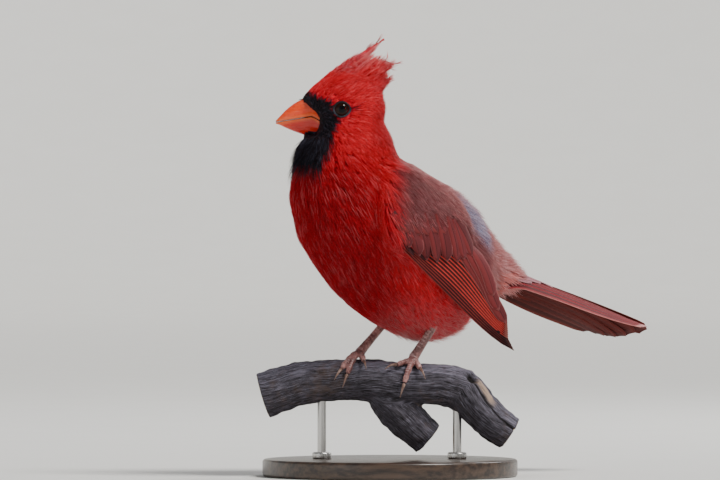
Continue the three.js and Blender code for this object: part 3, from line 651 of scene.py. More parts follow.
def bladeFaces():
    faces = [(0, 2, 1)]
    for k in (0, 3):
        for a, b in ((0, 1), (1, 2), (2, 0)):
            faces += [(k + a, k + b, k + b + 3), (k + a, k + b + 3, k + a + 3)]
    return np.array(faces + [(6, 7, 9), (7, 8, 9), (8, 6, 9)])

# What a coat piece is made from, tuft by tuft: points, faces, the map's patch and the marks.
def tuftTable(points, stops, tone, marks, faces, sway, blade):
    count, barbs = points.shape[:2]
    along = np.broadcast_to(np.concatenate([np.repeat(stops[:3], 3), [1.0]]), (count, barbs, 10))
    corners = (np.arange(count * barbs) * 10)[:, None, None] + blade
    patch = np.stack([np.broadcast_to(sway, along.shape), along - 0.5], -1) * coatCare["patch"]
    values = {key: np.broadcast_to(value[:, None, None], along.shape) for key, value in marks.items()}
    values = {"along": along, "tone": np.broadcast_to(tone, along.shape), **values}
    return {"points": points, "corners": corners.reshape(count, -1, 3), "per": barbs * 10,
            "uv": skinUv(faces)[:, None, None] + patch, "values": values}

def growTufts(roots, widths, barbs, fan):
    lengths, depths = lengthOf(roots), coatDepth(roots)
    spots, facing, faces, _ = nearest(skinTree, roots)
    ways = lieOf(spots, facing)
    ways = unit(ways + hemOf(spots)[:, None] * (0.15 * facing - (0, 0, 0.55)))
    count, t = len(roots), np.array(barbShape["stops"])
    path, normals, cling = [spots], [facing], clingOf(spots)[:, None]
    for gap in np.diff(t):
        ahead = path[-1] + ways * (lengths * gap)[:, None]
        onSkin, up, _, _ = nearest(skinTree, ahead)
        keep = (np.sum(up * normals[-1], -1) > 0.2)[:, None]
        onSkin, up = np.where(keep, onSkin, ahead), np.where(keep, up, normals[-1])
        path.append(blend(ahead, onSkin, cling))
        normals.append(unit(blend(normals[-1], up, cling)))
        ways = unit(ways - cling * partAlong(ways, up))
    path, normals = np.stack(path, 1), np.stack(normals, 1)
    forward = unit(np.gradient(path, axis=1))
    side = unit(np.cross(normals, forward))
    spread = (np.linspace(-1, 1, barbs)[None, :] + dice.normal(0, 0.18, (count, barbs))) * fan
    loose = np.maximum(hemOf(spots), bibMask(spots) * 0.9)[:, None]
    stretch = dice.uniform(0.72, 1.12, (count, barbs)) + loose * dice.uniform(-0.3, 0.75, (count, barbs))
    lift = dice.uniform(0.6, 1.15, (count, barbs))
    start = dice.normal(0, 0.05, (count, barbs)) * lengths[:, None]
    along = t * stretch[:, :, None]
    centre = path[:, None] + forward[:, None] * ((along - t) * lengths[:, None, None])[..., None]
    curve = spread[:, :, None] * (along - 0.35 * along ** 2) * lengths[:, None, None] + start[:, :, None]
    centre = centre + side[:, None] * curve[..., None]
    rise = np.array(barbShape["rise"]) * depths[:, None, None] * lift[:, :, None]
    rise = rise + (flareOf(roots)[:, None] * dice.uniform(-0.1, 1.2, (count, barbs)))[:, :, None] * t ** 2
    centre = centre + normals[:, None] * (rise - 0.15 * mm * (t == 0))[..., None]
    uneven = dice.uniform(0.8, 1.2, (count, barbs))[:, :, None]
    wide = (widths[:, None, None] * np.array(barbShape["widths"]) * uneven)[..., None]
    points = bladePoints(centre, side[:, None, :3], normals[:, None, :3], wide, barbShape["thick"])
    tone = np.clip(dice.normal(0.55, 0.13, (count, 1, 1)) + dice.normal(0, 0.20, (count, barbs, 1)), 0, 1)
    return tuftTable(points, t, tone, markings(spots), faces, spread[:, :, None] * 1.5, bladeFaces())

redCoat = coatMaterial("coatRed")

def coatPiece(name, tufts, chosen):
    count = int(chosen.sum())
    shift = (np.arange(count) - np.flatnonzero(chosen)) * tufts["per"]
    corners = (tufts["corners"][chosen] + shift[:, None, None]).reshape(-1, 3)
    values = {key: value[chosen].ravel() for key, value in tufts["values"].items()}
    points, uv = tufts["points"][chosen].reshape(-1, 3), tufts["uv"][chosen].reshape(-1, 2)
    settle(newPiece(name, points, corners, values, uv), "feathers_red", redCoat)
    print(name, len(corners))

# Regions keep each piece under the most faces it may have.
def inRegions(prefix, roots, widths, barbs, fan):
    tufts = growTufts(roots, widths, barbs, fan)
    u, _, z = fromWorld(bodyTurn, roots)
    parts = max(1, math.ceil(len(roots) / (coatCare["mostFaces"] // (barbs * 16))))
    region = np.argsort(np.argsort(u * 0.7 - z * 0.7)) * parts // len(roots)
    for k in range(parts):
        coatPiece(f"{prefix}_{k + 1}", tufts, region == k)

def makeCoat():
    thin = math.sqrt(1.0)
    roots = sampleSkin(coatCare["bodyGap"] * mm * thin, lambda p: ~onHead(p))
    roots = roots[~onArm(roots)]
    widths = blend(0.27, 0.22, step(heightOf(roots), 76, 98)) * mm
    inRegions("coat_body", roots, widths, coatCare["bodyBarbs"], coatCare["bodyFan"])
    roots = sampleSkin(coatCare["headGap"] * mm * thin, onHead)
    sparse = dice.random(len(roots)) > 0.85 * step(heightOf(roots), 130, 138)
    roots = roots[offEyes(roots) & offBill(roots) & sparse]
    widths = blend(0.15, 0.20, step(lengthOf(roots) / mm, 1.6, 4.2)) * mm
    inRegions("coat_head", roots, widths, coatCare["headBarbs"], coatCare["headFan"])

makeCoat()


# Vanes: closed feather blades with a shaft, two webs and a rounded or pointed end

vaneColumns = np.array((-1, -0.55, 0, 0.55, 1))  # from one edge to the other

def vaneGrid(centre, side, out, leftWide, rightWide, thick, droop):
    sway = np.where(vaneColumns < 0, leftWide[:, None], rightWide[:, None]) * vaneColumns
    fall = -droop * vaneColumns ** 2
    top = centre[:, None] + side[:, None] * sway[..., None] + out[:, None] * fall[..., None]
    return np.stack([top, top - out[:, None] * thick])

def gridCorners(rows, cols):
    cell = []
    for i in range(rows - 1):
        for j in range(cols - 1):
            a = i * cols + j
            cell += [(a, a + 1, a + cols + 1), (a, a + cols + 1, a + cols)]
    top = np.array(cell)
    under = top[:, ::-1] + rows * cols
    rim = [i * cols for i in range(rows)] + [(rows - 1) * cols + j for j in range(1, cols)]
    rim += [i * cols + cols - 1 for i in range(rows - 2, -1, -1)] + [j for j in range(cols - 2, 0, -1)]
    wall = []
    for a, b in zip(rim, rim[1:] + rim[:1]):
        wall += [(a, b, b + rows * cols), (a, b + rows * cols, a + rows * cols)]
    return np.concatenate([top, under, np.array(wall)])

# One piece of several vanes, each with a strip of its own on the map.
def joinVanes(name, vanes, material, *nodes):
    rows, cols = vanes[0]["grid"].shape[1:3]
    each, count = rows * cols * 2, len(vanes)
    grids = np.stack([v["grid"].reshape(-1, 3) for v in vanes])
    block = facedOut(grids[0], gridCorners(rows, cols))
    corners = (block[None] + (np.arange(count) * each)[:, None, None]).reshape(-1, 3)
    across = np.tile(vaneColumns, 2 * count * rows)
    along = np.tile(np.repeat(vanes[0]["along"], cols), 2 * count)
    under = np.tile(np.repeat((0.0, 1.0), rows * cols), count)
    tone = np.repeat([v["tone"] for v in vanes], each)
    values = {"across": across, "along": along, "tone": tone, "under": under}
    strip = np.repeat(np.arange(count), each)
    uv = np.stack([(strip + 0.5 + 0.42 * across) / count, 0.02 + 0.47 * along + 0.49 * under], -1)
    settle(newPiece(name, grids.reshape(-1, 3), corners, values, uv), "feathers_dusky", material, *nodes)
    print(name, len(corners))

def vaneProfile(t, tipSharp, baseShare=0.35, least=0.02):
    grow = blend(baseShare, 1.0, step(t, 0.0, 0.3))
    return grow * np.clip(1 - np.clip((t - (1 - tipSharp)) / tipSharp, 0, 1) ** 2.2, least, 1) ** 0.6


# Wings: the feathers are planned in the body's (u, z) plane and laid on the wing's own surface

wingCare = {
    "leading": ((-11, 54), (16.5, 29.2), (53.5, 4.6)), "hand": ((-2, 50.5), (23, 32.5), (50.5, 9.5)),
    "second": ((-2, 50.5), (23, 32.5), (50.2, 10.2)), "third": ((15, 52), (36, 38), (49.2, 17.0)),
    "trailing": ((27, 56), (43, 38), (48.8, 20.0)), "rows": 15, "shortRows": 9,
    "rightLift": 15.0, "pivot": (-5.0, 65.0),
    "primaries": 4, "secondaries": 8, "greatCoverts": 8, "medianCoverts": 7,
    "greatRoots": ((-14, 68), (-6, 68), (6, 68), (16, 66), (19, 64)),
    "greatTips": ((-5, 52), (2.5, 46.5), (11, 45.5), (20, 45.8), (26.5, 48.5)),
    "alula": (((-7, 55), (4.6, 46.2)), ((-11, 59), (-2.8, 48.4))),
    "medianTips": ((-9, 58.5), (24, 58.0)), "medianBack": (-7.0, 8.0),
}

# Both webs' widths, the first vane's height, the rise from vane to vane, the tip's share of the length,
# how far the edges droop, the rise towards the tip and the root's share of the width
vaneShapes = {
    "primaries": {"webs": (0.55, 2.6), "low": -0.8, "rise": 0.14, "tip": 0.10, "droop": 0.05, "tilt": 0.5,
                  "root": 0.85},
    "secondaries": {"webs": (0.70, 2.2), "low": -0.3, "rise": 0.13, "tip": 0.12, "droop": 0.05, "tilt": 0.5,
                    "root": 0.85},
    "tertials": {"webs": (3.6, 2.9), "low": 0.85, "rise": 0.25, "tip": 0.2, "droop": 0.3, "tilt": 0.5,
                 "root": 0.35},
    "greatCoverts": {"webs": (2.5, 3.4), "low": -0.1, "rise": 0.14, "tip": 0.3, "droop": 0.5, "tilt": 0.7,
                     "root": 0.35},
    "alula": {"webs": (1.6, 2.0), "low": 0.1, "rise": 0.5, "tip": 0.6, "droop": 0.25, "tilt": 0.2,
              "root": 0.7},
    "medianCoverts": {"webs": (3.1, 3.5), "low": -0.6, "rise": 0.0, "tip": 0.5, "droop": 0.6, "tilt": 1.7,
                      "root": 0.35},
}

# The right wing is held higher, turned about its shoulder.
def held(uz, side):
    if side < 0:
        return uz
    turn, pivot = math.radians(wingCare["rightLift"]), np.array(wingCare["pivot"])
    u, z = np.moveaxis(uz - pivot, -1, 0)
    c, s = math.cos(turn), math.sin(turn)
    return pivot + np.stack([u * c - z * s, u * s + z * c], -1)

def bezier(stops, t):
    a, b, c = (np.array(s, float) for s in stops)
    t = np.asarray(t)[:, None]
    return a * (1 - t) ** 2 + 2 * b * t * (1 - t) + c * t ** 2

# How far out the wing's own surface lies under places in the plane.
def wingSurface(side):
    tree = wingTrees["left" if side < 0 else "right"]
    inward = bodyWay(0, -side, 0)
    inward = Vector(inward / np.linalg.norm(inward))
    def lay(uz):
        spots = toWorld(bodyTurn, uz[:, 0], side * 60.0, uz[:, 1])
        found = []
        for p in spots:
            hit = tree.ray_cast(Vector(p), inward)[0]
            if hit is None:
                hit = tree.find_nearest(Vector(p) + inward * 0.033)[0]
                hit = Vector(p) + inward * (hit - Vector(p)).dot(inward)
            found.append(hit)
        depth = fromWorld(bodyTurn, np.array(found))[1] * side
        for _ in range(3):
            depth = np.convolve(np.pad(depth, 1, "edge"), (0.25, 0.5, 0.25), "valid")
        return depth
    return lay

# A smooth surface through the wing's own, so that the flight feathers stack evenly.
def evenSurface(lay, spots, side):
    spots = held(spots, side)
    def terms(uz):
        u, z = np.moveaxis(uz / 50.0, -1, 0)
        return np.stack([u ** i * z ** j for i in range(5) for j in range(5 - i)], -1)
    shares = np.linalg.lstsq(terms(spots), lay(spots), rcond=None)[0]
    return lambda uz: terms(uz) @ shares

def wingVane(lay, side, line, kind, order, tone):
    shape = vaneShapes[kind]
    t = np.linspace(0, 1, len(line))
    line = held(line, side)
    depth = lay(line) + (shape["rise"] * order + shape["low"]) + shape["tilt"] * t
    beside = unit(np.gradient(line, axis=0))[:, ::-1] * (-1.5, 1.5)
    slope = np.clip((lay(line + beside) - lay(line - beside)) / 3, -0.6, 0.6)[:, None]
    centre = toWorld(bodyTurn, line[:, 0], side * depth, line[:, 1])
    forward = unit(np.gradient(centre, axis=0))
    outside = unit(bodyWay(0, side, 0))
    out = unit(outside - partAlong(outside, forward))
    across = -unit(np.cross(out, forward)) * side
    level = bodyWay(beside[:, 0], 0, beside[:, 1])
    across = unit(across + out * slope * np.sign(np.sum(across * level, -1, keepdims=True)))
    out = turnedTo(unit(np.cross(forward, across)), outside)
    left, right = (web * vaneProfile(t, shape["tip"], shape["root"]) * mm for web in shape["webs"])
    grid = vaneGrid(centre, across, out, left, right, 0.22 * mm, shape["droop"] * mm)
    return {"grid": grid, "along": t, "tone": tone}

flightVane = vaneMaterial("flightVane", (0.030, 0.007, 0.007), (0.42, 0.036, 0.030), (0.50, 0.17, 0.15),
                          outerFrom=-0.1, rimShare=0.35, tipDark=0.7)
secondVane = vaneMaterial("secondVane", (0.050, 0.009, 0.009), (0.72, 0.052, 0.042), (0.74, 0.24, 0.20),
                          outerFrom=0.0, tipDark=0.15, dark=(0.016, 0.006, 0.007))
covertVane = vaneMaterial("covertVane", (0.130, 0.024, 0.027), (0.22, 0.036, 0.036), (0.34, 0.10, 0.10),
                          rimShare=0.35, innerDark=0.12)
greatVane = vaneMaterial("greatVane", (0.125, 0.021, 0.024), (0.20, 0.028, 0.030), (0.46, 0.15, 0.15),
                         outerFrom=0.0, rimShare=0.6, innerDark=0.2)
darkVane = vaneMaterial("darkVane", (0.050, 0.014, 0.016), (0.070, 0.017, 0.019), (0.16, 0.05, 0.05),
                        outerFrom=0.0, rimShare=0.2, innerDark=0.3)

# A short feather's line, bowed between its root and its tip.
def bowed(root, tip, bow):
    return bezier((root, (np.array(root) + tip) / 2 + bow, tip), np.linspace(0, 1, wingCare["shortRows"]))

def greatLines():
    for share in np.linspace(0, 1, wingCare["greatCoverts"]):
        root, tip = (alongStops(wingCare[key], share) for key in ("greatRoots", "greatTips"))
        yield bowed(root, tip + dice.normal(0, 0.35, 2), (0.9, 1.2))

def medianLines():
    start, end = np.array(wingCare["medianTips"])
    for k in range(wingCare["medianCoverts"]):
        tip = blend(start, end, (k + 0.6) / 6.8) + dice.normal(0, 0.4, 2)
        root = tip + np.array(wingCare["medianBack"]) * dice.uniform(0.92, 1.1)
        yield bowed(root, tip, (0.5, 0.8))

# Three long inner feathers, each shorter than the one before.
def tertialLines(third, trailing):
    for i, reach in enumerate((1.0, 0.86, 0.70)):
        line = blend(third, trailing, (i + 0.5) / 3)
        yield line[0] + (line - line[0]) * reach

def between(low, high, count):
    return [blend(low, high, (i + 0.4) / count) for i in range(count)]

def makeWing(name, side):
    lay = wingSurface(side)
    t = np.linspace(0, 1, wingCare["rows"])
    lines = {key: bezier(wingCare[key], t) for key in ("leading", "hand", "second", "third", "trailing")}
    even = evenSurface(lay, np.concatenate(between(lines["leading"], lines["trailing"], 10)), side)
    def feathers(kind, surface, kindLines, tones, material, *nodes):
        vanes = [wingVane(surface, side, line, kind, i, dice.uniform(*tones))
                 for i, line in enumerate(kindLines)]
        joinVanes(f"{kind}_{name}", vanes, material, *nodes)
    for kind, low, high, material in (("primaries", "leading", "hand", flightVane),
                                      ("secondaries", "second", "third", secondVane)):
        flight = between(lines[low], lines[high], wingCare[kind])
        feathers(kind, even, flight, (0.1, 0.9), material, f"wing_{name}_{kind}")
    tertials = [wingVane(even, side, line, "tertials", i, 0.3 + 0.3 * i)
                for i, line in enumerate(tertialLines(lines["third"], lines["trailing"]))]
    joinVanes(f"tertials_{name}", tertials, greatVane)
    feathers("greatCoverts", lay, greatLines(), (0, 1), greatVane)
    alulaLines = (bowed(root, tip, (0.4, 0.6)) for root, tip in wingCare["alula"])
    feathers("alula", even, alulaLines, (0, 0.5), darkVane)
    feathers("medianCoverts", lay, medianLines(), (0, 1), covertVane)

makeWing("left", -1)
makeWing("right", 1)


# Tail: twelve feathers in an arched fan, rolled at the root

tailCare = {
    "root": (46.5, 25.5, 40.6), "length": 86.0, "yaw": 37.8, "pitch": -16.0,
    "rollRoot": -30.0, "rollTip": -5.5,
    "halfSpread": 19.5, "halfRoot": 6.2, "swing": -4.0, "graduation": 16.0, "rows": 22, "covertRows": 12,
    "coverts": ((0.35, 0.28), (-0.75, 0.22), (-0.5, 0.29), (-0.25, 0.38), (0.1, 0.43), (-0.1, 0.33),
                (-0.4, 0.22)),
}

def tailPlace(along, across, up):
    yaw, pitch = math.radians(tailCare["yaw"]), math.radians(tailCare["pitch"])
    level = math.cos(pitch)
    ahead = np.array((math.cos(yaw) * level, math.sin(yaw) * level, math.sin(pitch)))
    flat = np.array((-math.sin(yaw), math.cos(yaw), 0.0))
    over = np.cross(ahead, flat)
    share = step(along / tailCare["length"], -0.2, 0.9)
    roll = np.radians(blend(tailCare["rollRoot"], tailCare["rollTip"], share))
    right = flat * np.cos(roll)[:, None] + over * np.sin(roll)[:, None]
    high = np.cross(ahead, right)
    base = np.array(tailCare["root"]) + (0, 0, birdCare["perchTop"])
    return (base + ahead * along[:, None] + right * across[:, None] + high * up[:, None]) * mm

# A feather's line: its share of the half fan, places along it and its height in the stack.
def tailLine(share, t, lift):
    extra = 7.0 if 0 < share < 0.2 else 4.2
    length = tailCare["length"] + extra - tailCare["graduation"] * abs(share) ** 1.7
    spread = blend(tailCare["halfRoot"], tailCare["halfSpread"], t ** 0.9)
    across = share * spread * blend(0.15, 1, step(t, 0.0, 0.15)) + tailCare["swing"] * t
    arch = -(9 + 4 * t - 8 * t ** 2 if share < 0 else 4.5 + 2 * t - 3 * t ** 2) * share ** 2
    arch = arch - 3.4 * t ** 3 * math.sin(math.pi * min(max(share, 0), 1))
    return tailPlace(length * t, across, arch + lift + 1.5 - 3.5 * t ** 2)

tailVane = vaneMaterial("tailVane", (0.10, 0.006, 0.010), (0.25, 0.010, 0.017), (0.80, 0.38, 0.38),
                        outerFrom=-0.2, rimShare=0.3, dark=(0.045, 0.005, 0.007), innerDark=0.6,
                        under=((0.070, 0.011, 0.009), (0.13, 0.018, 0.013)), endShare=0.95)
tailEdge = vaneMaterial("tailEdge", (0.12, 0.008, 0.012), (0.34, 0.045, 0.050), (0.78, 0.34, 0.32),
                        outerFrom=-0.2, rimShare=0.95, dark=(0.045, 0.005, 0.007), innerDark=0.6,
                        under=((0.060, 0.010, 0.008), (0.20, 0.030, 0.020)), endShare=0.9)
tailCovert = vaneMaterial("tailCovert", (0.30, 0.10, 0.12), (0.42, 0.17, 0.20), (0.74, 0.46, 0.50),
                          rimShare=0.6, innerDark=0.1)

def tailFeather(hand, i):
    share = hand * (0.09 + 0.91 * i / 5)
    t = np.linspace(-0.04, 1, tailCare["rows"])
    along = np.clip(t, 0, 1)
    lift = 0.55 - 0.16 * i + (0.08 if hand < 0 else 0)
    centre = tailLine(share, along, lift)
    centre = centre + (centre[1:2] - centre[2:3]) * (t[:, None] < 0)
    across = unit(tailLine(share + 0.05, along, lift - 0.02) - centre) * hand
    raised = tailLine(share, along, lift + 1.0) - tailLine(share, along, lift)
    out = turnedTo(unit(np.cross(unit(np.gradient(centre, axis=0)), across)), raised)
    wide = blend(2.6, 4.7, step(t, 0.1, 0.85)) * mm * vaneProfile(along, 0.075, 0.8, 0.3)
    grid = vaneGrid(centre, -across, out, wide * 0.7, wide * 1.2, 0.25 * mm, 0.3 * mm)
    return {"grid": grid, "along": along, "tone": dice.uniform(0, 1)}

# A short feather over the tail's root, as far along the tail as its end.
def shortCovert(share, end):
    t = np.linspace(-0.02, end, tailCare["covertRows"])
    along = np.clip(t, 0, 1)
    lift = 2.0 - 0.7 * np.abs(t / end) ** 2
    centre, beside = tailLine(share, along, lift), tailLine(share + 0.05, along, lift)
    centre = centre + (centre[2:3] - centre[3:4]) * (t[:, None] < 0)
    across, forward = unit(beside - centre), unit(np.gradient(centre, axis=0))
    out = turnedTo(unit(np.cross(forward, across)), tailLine(share, along, 2.0) - centre)
    run = np.linspace(0, 1, tailCare["covertRows"])
    wide = 2.9 * mm * vaneProfile(run, 0.35, 0.8, 0.1)
    grid = vaneGrid(centre, across, out, wide, wide, 0.25 * mm, 0.5 * mm)
    return {"grid": grid, "along": run, "tone": dice.uniform(0, 1)}

def makeTail():
    left, right = ([tailFeather(hand, i) for i in range(6)] for hand in (-1, 1))
    joinVanes("tailFeathersLeft", left[:5], tailVane, "tail")
    joinVanes("tailFeathersRight", right[:5], tailVane)
    joinVanes("tailEdgeLeft", left[5:], tailEdge)
    joinVanes("tailEdgeRight", right[5:], tailEdge)
    joinVanes("tailCoverts", [shortCovert(share, end) for share, end in tailCare["coverts"]], tailCovert)

makeTail()


# Crest: long loose feathers swept back to the points of the fan

crestCare = {
    "tips": ((18.0, 147.0, 0.0), (15.4, 144.2, -0.6), (13.6, 140.4, 0.6), (15.6, 139.4, 1.0),
             (18.4, 137.4, -0.9), (21.4, 135.2, 0.4), (15.6, 131.8, 1.2), (19.8, 127.6, -0.8),
             (14.4, 124.6, 0.6)),
    "rootFront": (-12.5, 119.5), "rootBack": (4.0, 120.5), "locks": 620, "barbs": 5,
    "stops": (0.0, 0.35, 0.72, 1.0), "widths": (0.5, 0.45, 0.25), "thick": 0.45, "bow": (-0.5, 0, 0.9),
}

def makeCrest():
    count, barbs = crestCare["locks"] // 1, crestCare["barbs"]
    share = np.sort(dice.random(count))
    last = len(crestCare["tips"]) - 1
    pull = share + dice.normal(0, 0.03, count)
    pull = blend(pull, np.round(np.clip(pull, 0, 1) * last) / last, 0.6)
    goal = alongStops(crestCare["tips"], pull)
    back = blend(crestCare["rootFront"][0], crestCare["rootBack"][0], share) + dice.normal(0, 0.6, count)
    high = blend(crestCare["rootFront"][1], crestCare["rootBack"][1], share)
    side = dice.normal(0, 1.0, count) * blend(2.2, 3.4, share)
    root = toWorld(headTurn, back, side, high)
    tip = toWorld(headTurn, goal[:, 0], goal[:, 2] + side * 0.12, goal[:, 1])
    tip = blend(root, tip, dice.uniform(0.45, 1.0, count)[:, None])
    stops = np.array(crestCare["stops"])
    t = stops[:, None]
    bow = t * (1 - t) * 4 * headWay(*crestCare["bow"]) * (1 - share)[:, None, None, None]
    centre = root[:, None, None] + (tip - root)[:, None, None] * t
    centre = centre + bow * 0.7 + dice.normal(0, 0.22 * mm, (count, barbs, 1, 3)) * (0.4 + t)
    flat = unit(headWay(0, 1, 0))
    up = unit(np.cross(unit(tip - root), flat))[:, None, None]
    wide = np.array(crestCare["widths"])[:, None] * mm
    points = bladePoints(centre, up, flat, wide, crestCare["thick"])
    tone = np.clip(dice.normal(0.55, 0.2, (count, 1, 1)) + dice.normal(0, 0.1, (count, barbs, 1)), 0, 1)
    marks, faces = markings(blend(root, tip, 0.7)), nearest(skinTree, root)[2]
    tufts = tuftTable(points, stops, tone, marks, faces, 0.0, facedOut(points[0, 0], bladeFaces()))
    coatPiece("crestFeathers", tufts, np.ones(count, bool))

makeCrest()


# Bill: two horn halves with a fine surface

def hornMaterial(name):
    material, tree, shader = newMaterial(name, Roughness=0.32, Specular_IOR_Level=0.45, Coat_Weight=0.1,
                                         Coat_Roughness=0.2, Subsurface_Weight=0.15,
                                         Subsurface_Radius=(0.002, 0.0006, 0.0003))
    value, fine = mottled(tree, 0.9)
    streaks = noisy(tree, objectPlace(tree, (90, 420, 620), (0, 0.25, 0)), 1.0, 4)
    colour = mixed(tree, ramp(tree, value, 0.35, 0.65), (0.76, 0.034, 0.010), (0.92, 0.085, 0.016))
    colour = mixed(tree, times(tree, attribute(tree, "low"), 0.9), colour, (0.55, 0.010, 0.006))
    colour = mixed(tree, times(tree, attribute(tree, "edge"), 0.5), colour, (0.92, 0.20, 0.035))
    colour = mixed(tree, ramp(tree, streaks, 0.60, 0.78, (0.0, 0.25)), colour, (0.92, 0.40, 0.25))
    colour = mixed(tree, times(tree, attribute(tree, "base"), 0.5), colour, (0.60, 0.22, 0.16))
    # Painted shade: a dark line along the gape, where the gap between the halves lies in shadow
    colour = mixed(tree, times(tree, attribute(tree, "gape"), 0.85), colour, (0.05, 0.012, 0.008))
    tree.links.new(colour, shader.inputs["Base Color"])
    tree.links.new(ramp(tree, streaks, 0.4, 0.8, (0.24, 0.42)), shader.inputs["Roughness"])
    bumped(tree, shader, maths(tree, "ADD", streaks, fine), 0.00008, 0.6)
    return material

def makeBill():
    horn = hornMaterial("billHorn")
    for name in ("bill_upper", "bill_lower"):
        piece = softCopy([name], f"{name}_horn", 0.12 * mm, 0.26 * mm, 7)
        back, _, z = fromWorld(headTurn, meshPoints(piece.data))
        t = np.clip(alongBill(back), 0, 1)
        gape = np.where(t < 0.24, blend(108.6, 111.4, t / 0.24), blend(111.4, 108.75, (t - 0.24) / 0.76))
        putValues(piece.data, "edge", 1 - step(np.abs(z - gape), 0.4, 2.2))
        putValues(piece.data, "low", (name == "bill_lower") * (1 - step(t, 0.5, 1.0)))
        # gape: the mask of the painted shade along the gap between the halves
        putValues(piece.data, "gape", 1 - step(np.abs(z - gape), 0.12, 0.42))
        putValues(piece.data, "base", (1 - step(t, 0.30, 0.5)) * step(z, 112, 118))
        smoothed(piece)
        settle(piece, "bill", horn, name)

makeBill()
print("bill")


# Eyes: a dark ball in a ring of beaded lid skin

eyeCare = {"side": 11.35, "radius": 3.80, "lidRadius": 3.48, "lidThick": 0.48, "lidSide": 13.5}

def eyeMaterial(name, centre, outward):
    material, tree, shader = newMaterial(name, Roughness=0.04, Specular_IOR_Level=0.16)
    place = node(tree, "ShaderNodeTexCoord").outputs["Object"]
    away = node(tree, "ShaderNodeVectorMath", operation="SUBTRACT")
    tree.links.new(place, away.inputs[0])
    away.inputs[1].default_value = tuple(centre)
    dot = node(tree, "ShaderNodeVectorMath", operation="DOT_PRODUCT")
    tree.links.new(away.outputs[0], dot.inputs[0])
    dot.inputs[1].default_value = tuple(outward / (eyeCare["radius"] * mm))
    facing = dot.outputs["Value"]
    rays = noisy(tree, place, 2600, 4)
    iris = mixed(tree, rays, (0.008, 0.003, 0.002), (0.024, 0.008, 0.004))
    colour = mixed(tree, ramp(tree, facing, 0.905, 0.93), iris, (0.002, 0.002, 0.003))
    colour = mixed(tree, ramp(tree, facing, 0.62, 0.56), colour, (0.01, 0.008, 0.01))
    tree.links.new(colour, shader.inputs["Base Color"])
    bumped(tree, shader, rays, 0.00001, 0.1)
    return material

def lidMaterial(name):
    material, tree, shader = newMaterial(name, Roughness=0.6, Specular_IOR_Level=0.25)
    value, fine = mottled(tree, 2.0)
    colour = mixed(tree, ramp(tree, value, 0.35, 0.65), (0.006, 0.006, 0.009), (0.040, 0.044, 0.060))
    colour = mixed(tree, attribute(tree, "upper"), colour, (0.006, 0.006, 0.008))
    tree.links.new(colour, shader.inputs["Base Color"])
    bumped(tree, shader, fine, 0.0001)
    return material

def makeEyes():
    lidSkin = lidMaterial("lidSkin")
    radius, lidRadius, lidThick = (eyeCare[key] * mm for key in ("radius", "lidRadius", "lidThick"))
    for name, side in (("left", -1), ("right", 1)):
        centre, spot = eyePlace(side * eyeCare["side"]), eyePlace(side * eyeCare["lidSide"])
        outward = unit(headWay(-0.06, side, 0.0))
        bpy.ops.object.select_all(action="DESELECT")
        bpy.ops.mesh.primitive_uv_sphere_add(segments=64, ring_count=40, radius=radius, location=centre)
        ball = applied(f"eyeball_{name}")
        smoothed(ball)
        settle(ball, "eye", eyeMaterial(f"eyeWet_{name}", centre, outward), f"eye_{name}")
        turn = Vector(outward).to_track_quat("Z", "Y").to_euler()
        bpy.ops.object.select_all(action="DESELECT")
        bpy.ops.mesh.primitive_torus_add(major_segments=72, minor_segments=14, major_radius=lidRadius,
                                         minor_radius=lidThick, location=spot, rotation=turn)
        lid = applied(f"lid_{name}")
        flat = meshPoints(lid.data) - spot
        way = np.arctan2(flat[:, 2], flat @ unit(headWay(1, 0, 0)))
        beads = 1 + 0.035 * np.cos(way * 26)
        pinch = 1 - 0.06 * np.abs(np.sin(way)) + 0.07 * np.abs(np.cos(way)) ** 6
        putPoints(lid.data, spot + flat * (beads * pinch)[:, None])
        putValues(lid.data, "upper", 0.85 * step(flat[:, 2] / mm, -0.6, 1.4))
        smoothed(lid)
        settle(lid, "eye", lidSkin)

makeEyes()
print("eyes")


# Legs and claws: scaled skin over the CAD shapes

def legMaterial(name):
    material, tree, shader = newMaterial(name, Roughness=0.4, Specular_IOR_Level=0.5)
    value, fine = mottled(tree, 1.4)
    colour = mixed(tree, ramp(tree, value, 0.35, 0.65), (0.11, 0.038, 0.036), (0.50, 0.25, 0.23))
    # Pale scute bands on the shin's front and the toes' tops: the scales' paler colour, with a painted
    # highlight on their raised edges
    scute = ramp(tree, attribute(tree, "scute"), 0.35, 1.0, (0.0, 0.5))
    colour = mixed(tree, scute, colour, (0.66, 0.45, 0.45))
    tree.links.new(colour, shader.inputs["Base Color"])
    bumped(tree, shader, fine, 0.00012)
    return material

def clawMaterial(name):
    material, tree, shader = newMaterial(name, Roughness=0.3, Specular_IOR_Level=0.5)
    streaks = noisy(tree, objectPlace(tree, (500, 500, 160)), 1.0, 3)
    tree.links.new(mixed(tree, ramp(tree, streaks, 0.35, 0.7), (0.09, 0.045, 0.035), (0.30, 0.19, 0.15)),
                   shader.inputs["Base Color"])
    bumped(tree, shader, streaks, 0.00005)
    return material

# Each leg's ankle and pad, the scutes' height and their spacing on the toes and the shin, in mm
legCare = {"left": ((23.5, -2.5, 22.0), (10.8, -1.4, 2.2)), "right": ((0.5, 12.5, 21.0), (-13.6, 2.2, 4.4)),
           "scute": 0.10, "toeBand": 1.1, "shinBand": 1.7}

